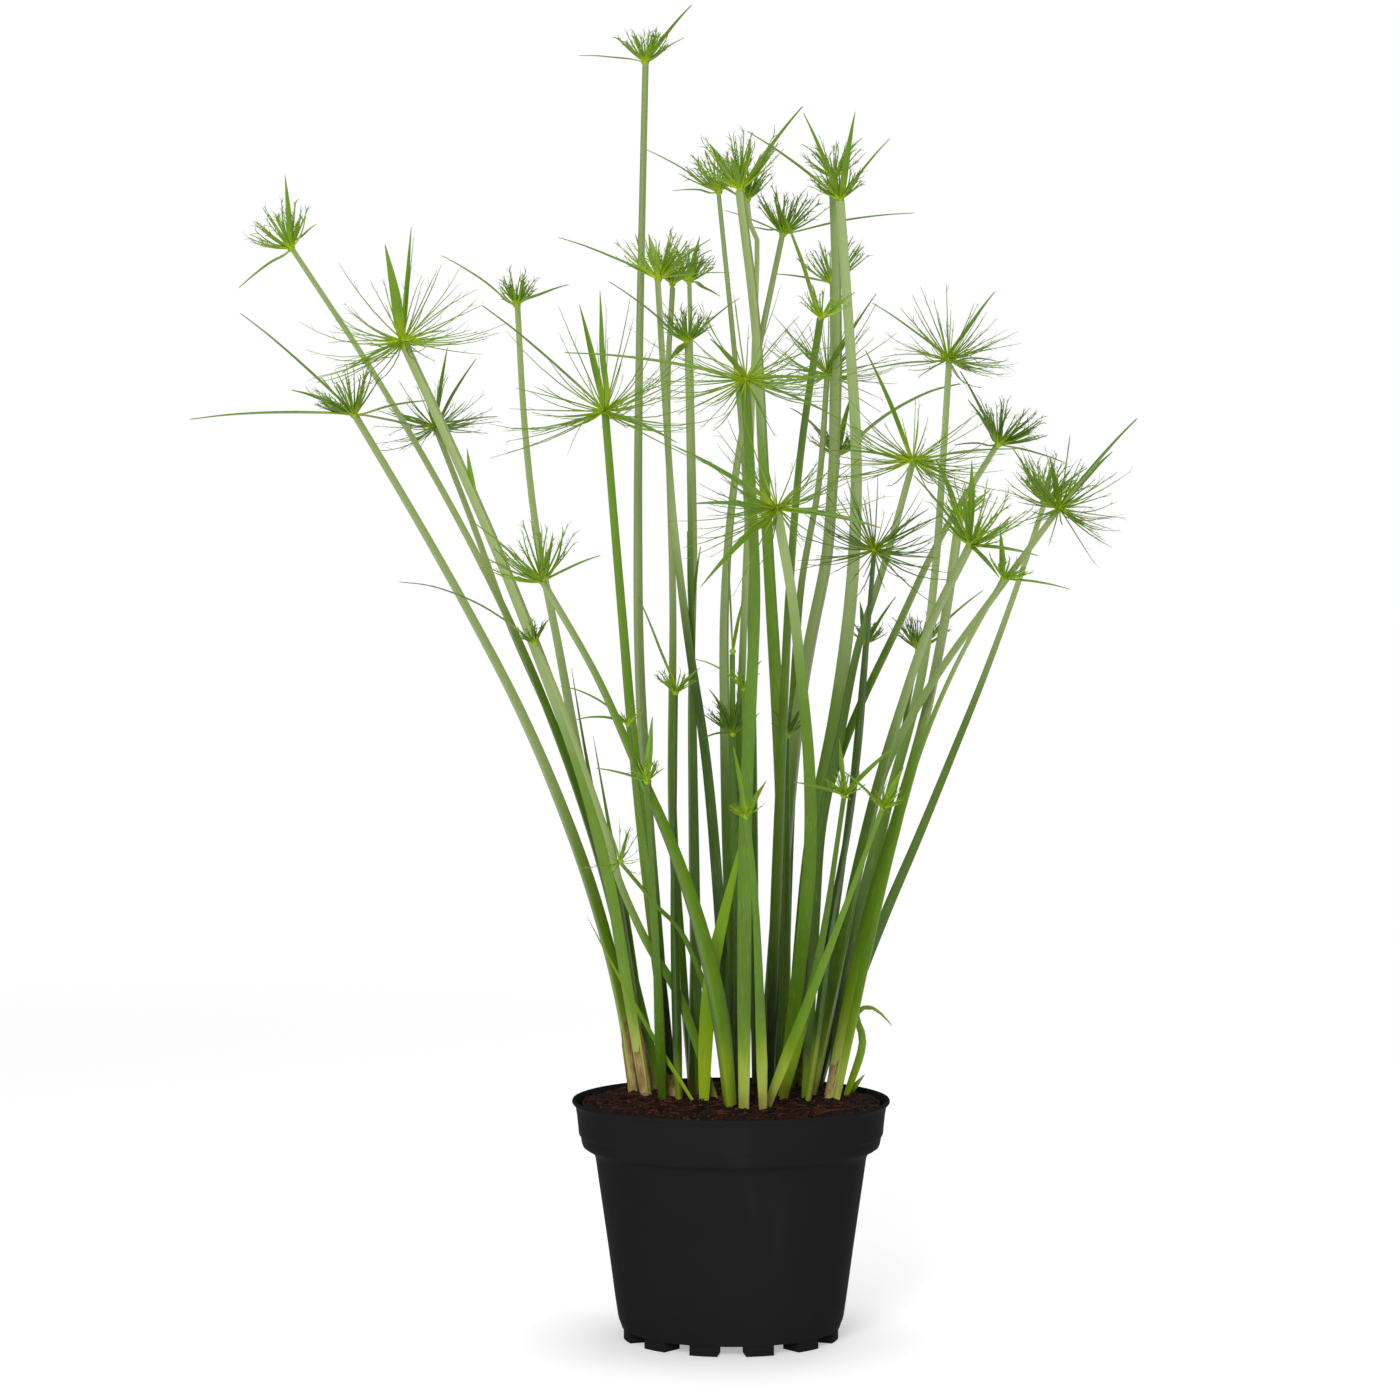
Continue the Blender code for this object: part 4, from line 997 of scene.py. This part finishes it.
def makeLeaves():
    for seed, (name, leaf) in enumerate(extraLeaves.items()):
        near, far = leaf["depth"]
        steps = np.linspace(0, 1, len(leaf["line"]))
        knots = [atDepth(x, z, near + (far - near) * t) for (x, z), t in zip(leaf["line"], steps)]
        if leaf["foot"]:
            knots.insert(0, np.array((*leaf["foot"], soilTop - 1.0)))
        line = smoothLine(knots, 15)
        shape = layAlong(bractBlank, line, leaf["width"], upper=(0.2, 1, 0.2), tint=leaf["tint"])
        joinShapes(name, [shape], umbelMaterial, angle=60)
    points, near = readNode("leaf_curled")
    foot = set(np.flatnonzero(points[:, 2] < points[:, 2].min() + 0.2).tolist())
    rings = ringsFrom(foot, near, 3, 99)
    line = np.array([points[ring].mean(0) for ring in rings])
    tip = points[[i for i in range(len(points)) if i not in set().union(*map(set, rings))]]
    line = smoothLine(np.vstack((line, tip)), 15) + (1.4, 0, 0)  # a little clear of the culm beside it
    shape = layAlong(bractBlank, line, 4.6, upper=(0, 1, 0.3), tint=(0.5, 0.15, 0.3))
    joinShapes("leafCurled", [shape], umbelMaterial, ("leaf_curled",), angle=60)


# dry sheaths round the feet of a few outer culms: height and spread
sheathList = dict(
    stem_left_big=(34, 1.12), stem_left_low=(42, 1.12), stem_left_tip=(30, 1.15), stem_far_right=(30, 1.15), stem_tallest=(18, 1.12),
    stem_mid_left=(14, 1.15), shoot_right_fresh=(26, 1.15), stem_right_outer=(18, 1.12),
)


def makeSheaths():
    shapes = []
    for seed, (name, (height, spread)) in enumerate(sheathList.items()):
        rng = random.Random(500 + seed)
        points, near = readNode(name)
        line, radii, taken = stemFromNode(points, near, 6, 99) if name.startswith("stem") else stemFromNode(points, near, 3, 7)
        line = smoothLine(line, 60)
        below = np.linalg.norm(line - line[0], axis=1) < height + 8
        part = np.vstack((line[0] - (0, 0, 1.5), line[below][1:]))
        width = np.linspace(radii[0] * spread * 1.05, radii[0] * spread * 1.3, 4)
        shapes.append(layAlong(sheathBlank, part, width, upper=(0, -1, 0), twist=rng.uniform(0, 6.28)))
    joinShapes("drySheaths", shapes, sheathMaterial, angle=60)


makeExtraCulms()
makeLeaves()
makeSheaths()
print("extra culms, leaves and sheaths made")


# Studio: pale floor, soft lights, and the camera at the photograph's angle

studioSettings = dict(
    ambient=0.2,
    lights=dict(
        keyLight=((-0.7, -2.8, 1.5), 1.3, 58), fillLight=((1.2, -2.6, 0.8), 1.3, 14), topLight=((0.1, 0.1, 2.9), 1.6, 38),
        backLight=((0.8, 2.4, 1.8), 1.6, 10),
    ),
)


def makeStudio():
    deselectAll()
    bpy.ops.mesh.primitive_plane_add(size=60)
    floor = bpy.context.object
    floor.name = "studioFloor"
    maker = Maker("studio floor", Roughness=0.9, Specular_IOR_Level=0.1, Emission_Strength=1.0)
    place = maker.objectPlace()
    away = maker.node("ShaderNodeVectorMath", {"operation": "LENGTH"}, {0: place}, 1)
    far = maker.between(away, 0.3, 2.6)
    maker.finish(
        Base_Color=maker.mix(far, (0.8, 0.8, 0.8), (0.02, 0.02, 0.02)),
        Emission_Color=maker.mix(far, (0.4, 0.4, 0.4), (1.0, 1.0, 1.0)),
    )
    floor.data.materials.append(maker.material)
    world = bpy.data.worlds.new("studio")
    bpy.context.scene.world = world
    world.use_nodes = True
    background = world.node_tree.nodes["Background"]
    background.inputs["Color"].default_value = (1, 1, 1, 1)
    seen = world.node_tree.nodes.new("ShaderNodeLightPath").outputs["Is Camera Ray"]
    strength = world.node_tree.nodes.new("ShaderNodeMapRange")
    strength.inputs["To Min"].default_value = studioSettings["ambient"]
    strength.inputs["To Max"].default_value = 1.0
    world.node_tree.links.new(seen, strength.inputs["Value"])
    world.node_tree.links.new(strength.outputs["Result"], background.inputs["Strength"])
    for name, (place, size, power) in studioSettings["lights"].items():
        light = bpy.data.lights.new(name, "AREA")
        light.shape = "DISK"
        light.size = size
        light.energy = power
        lamp = bpy.data.objects.new(name, light)
        lamp.location = place
        lamp.rotation_euler = (Vector((0, 0, 0.35)) - Vector(place)).to_track_quat("-Z", "Y").to_euler()
        bpy.context.scene.collection.objects.link(lamp)
    lens = bpy.data.cameras.new("photoView")
    lens.lens = 99.3
    lens.sensor_width = 36
    camera = bpy.data.objects.new("photoView", lens)
    camera.location = eye * mm
    aim = Vector((eye[0] * mm, 0, 0.381))
    camera.rotation_euler = (aim - camera.location).to_track_quat("-Z", "Y").to_euler()
    bpy.context.scene.collection.objects.link(camera)
    bpy.context.scene.camera = camera
    bpy.context.scene.view_settings.view_transform = "Standard"


makeStudio()
print("studio made")

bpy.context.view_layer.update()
total = sum(len(item.data.loop_triangles) for item in bpy.data.objects if item.type == "MESH" and not item.data.calc_loop_triangles())
print("triangles in the scene:", total)
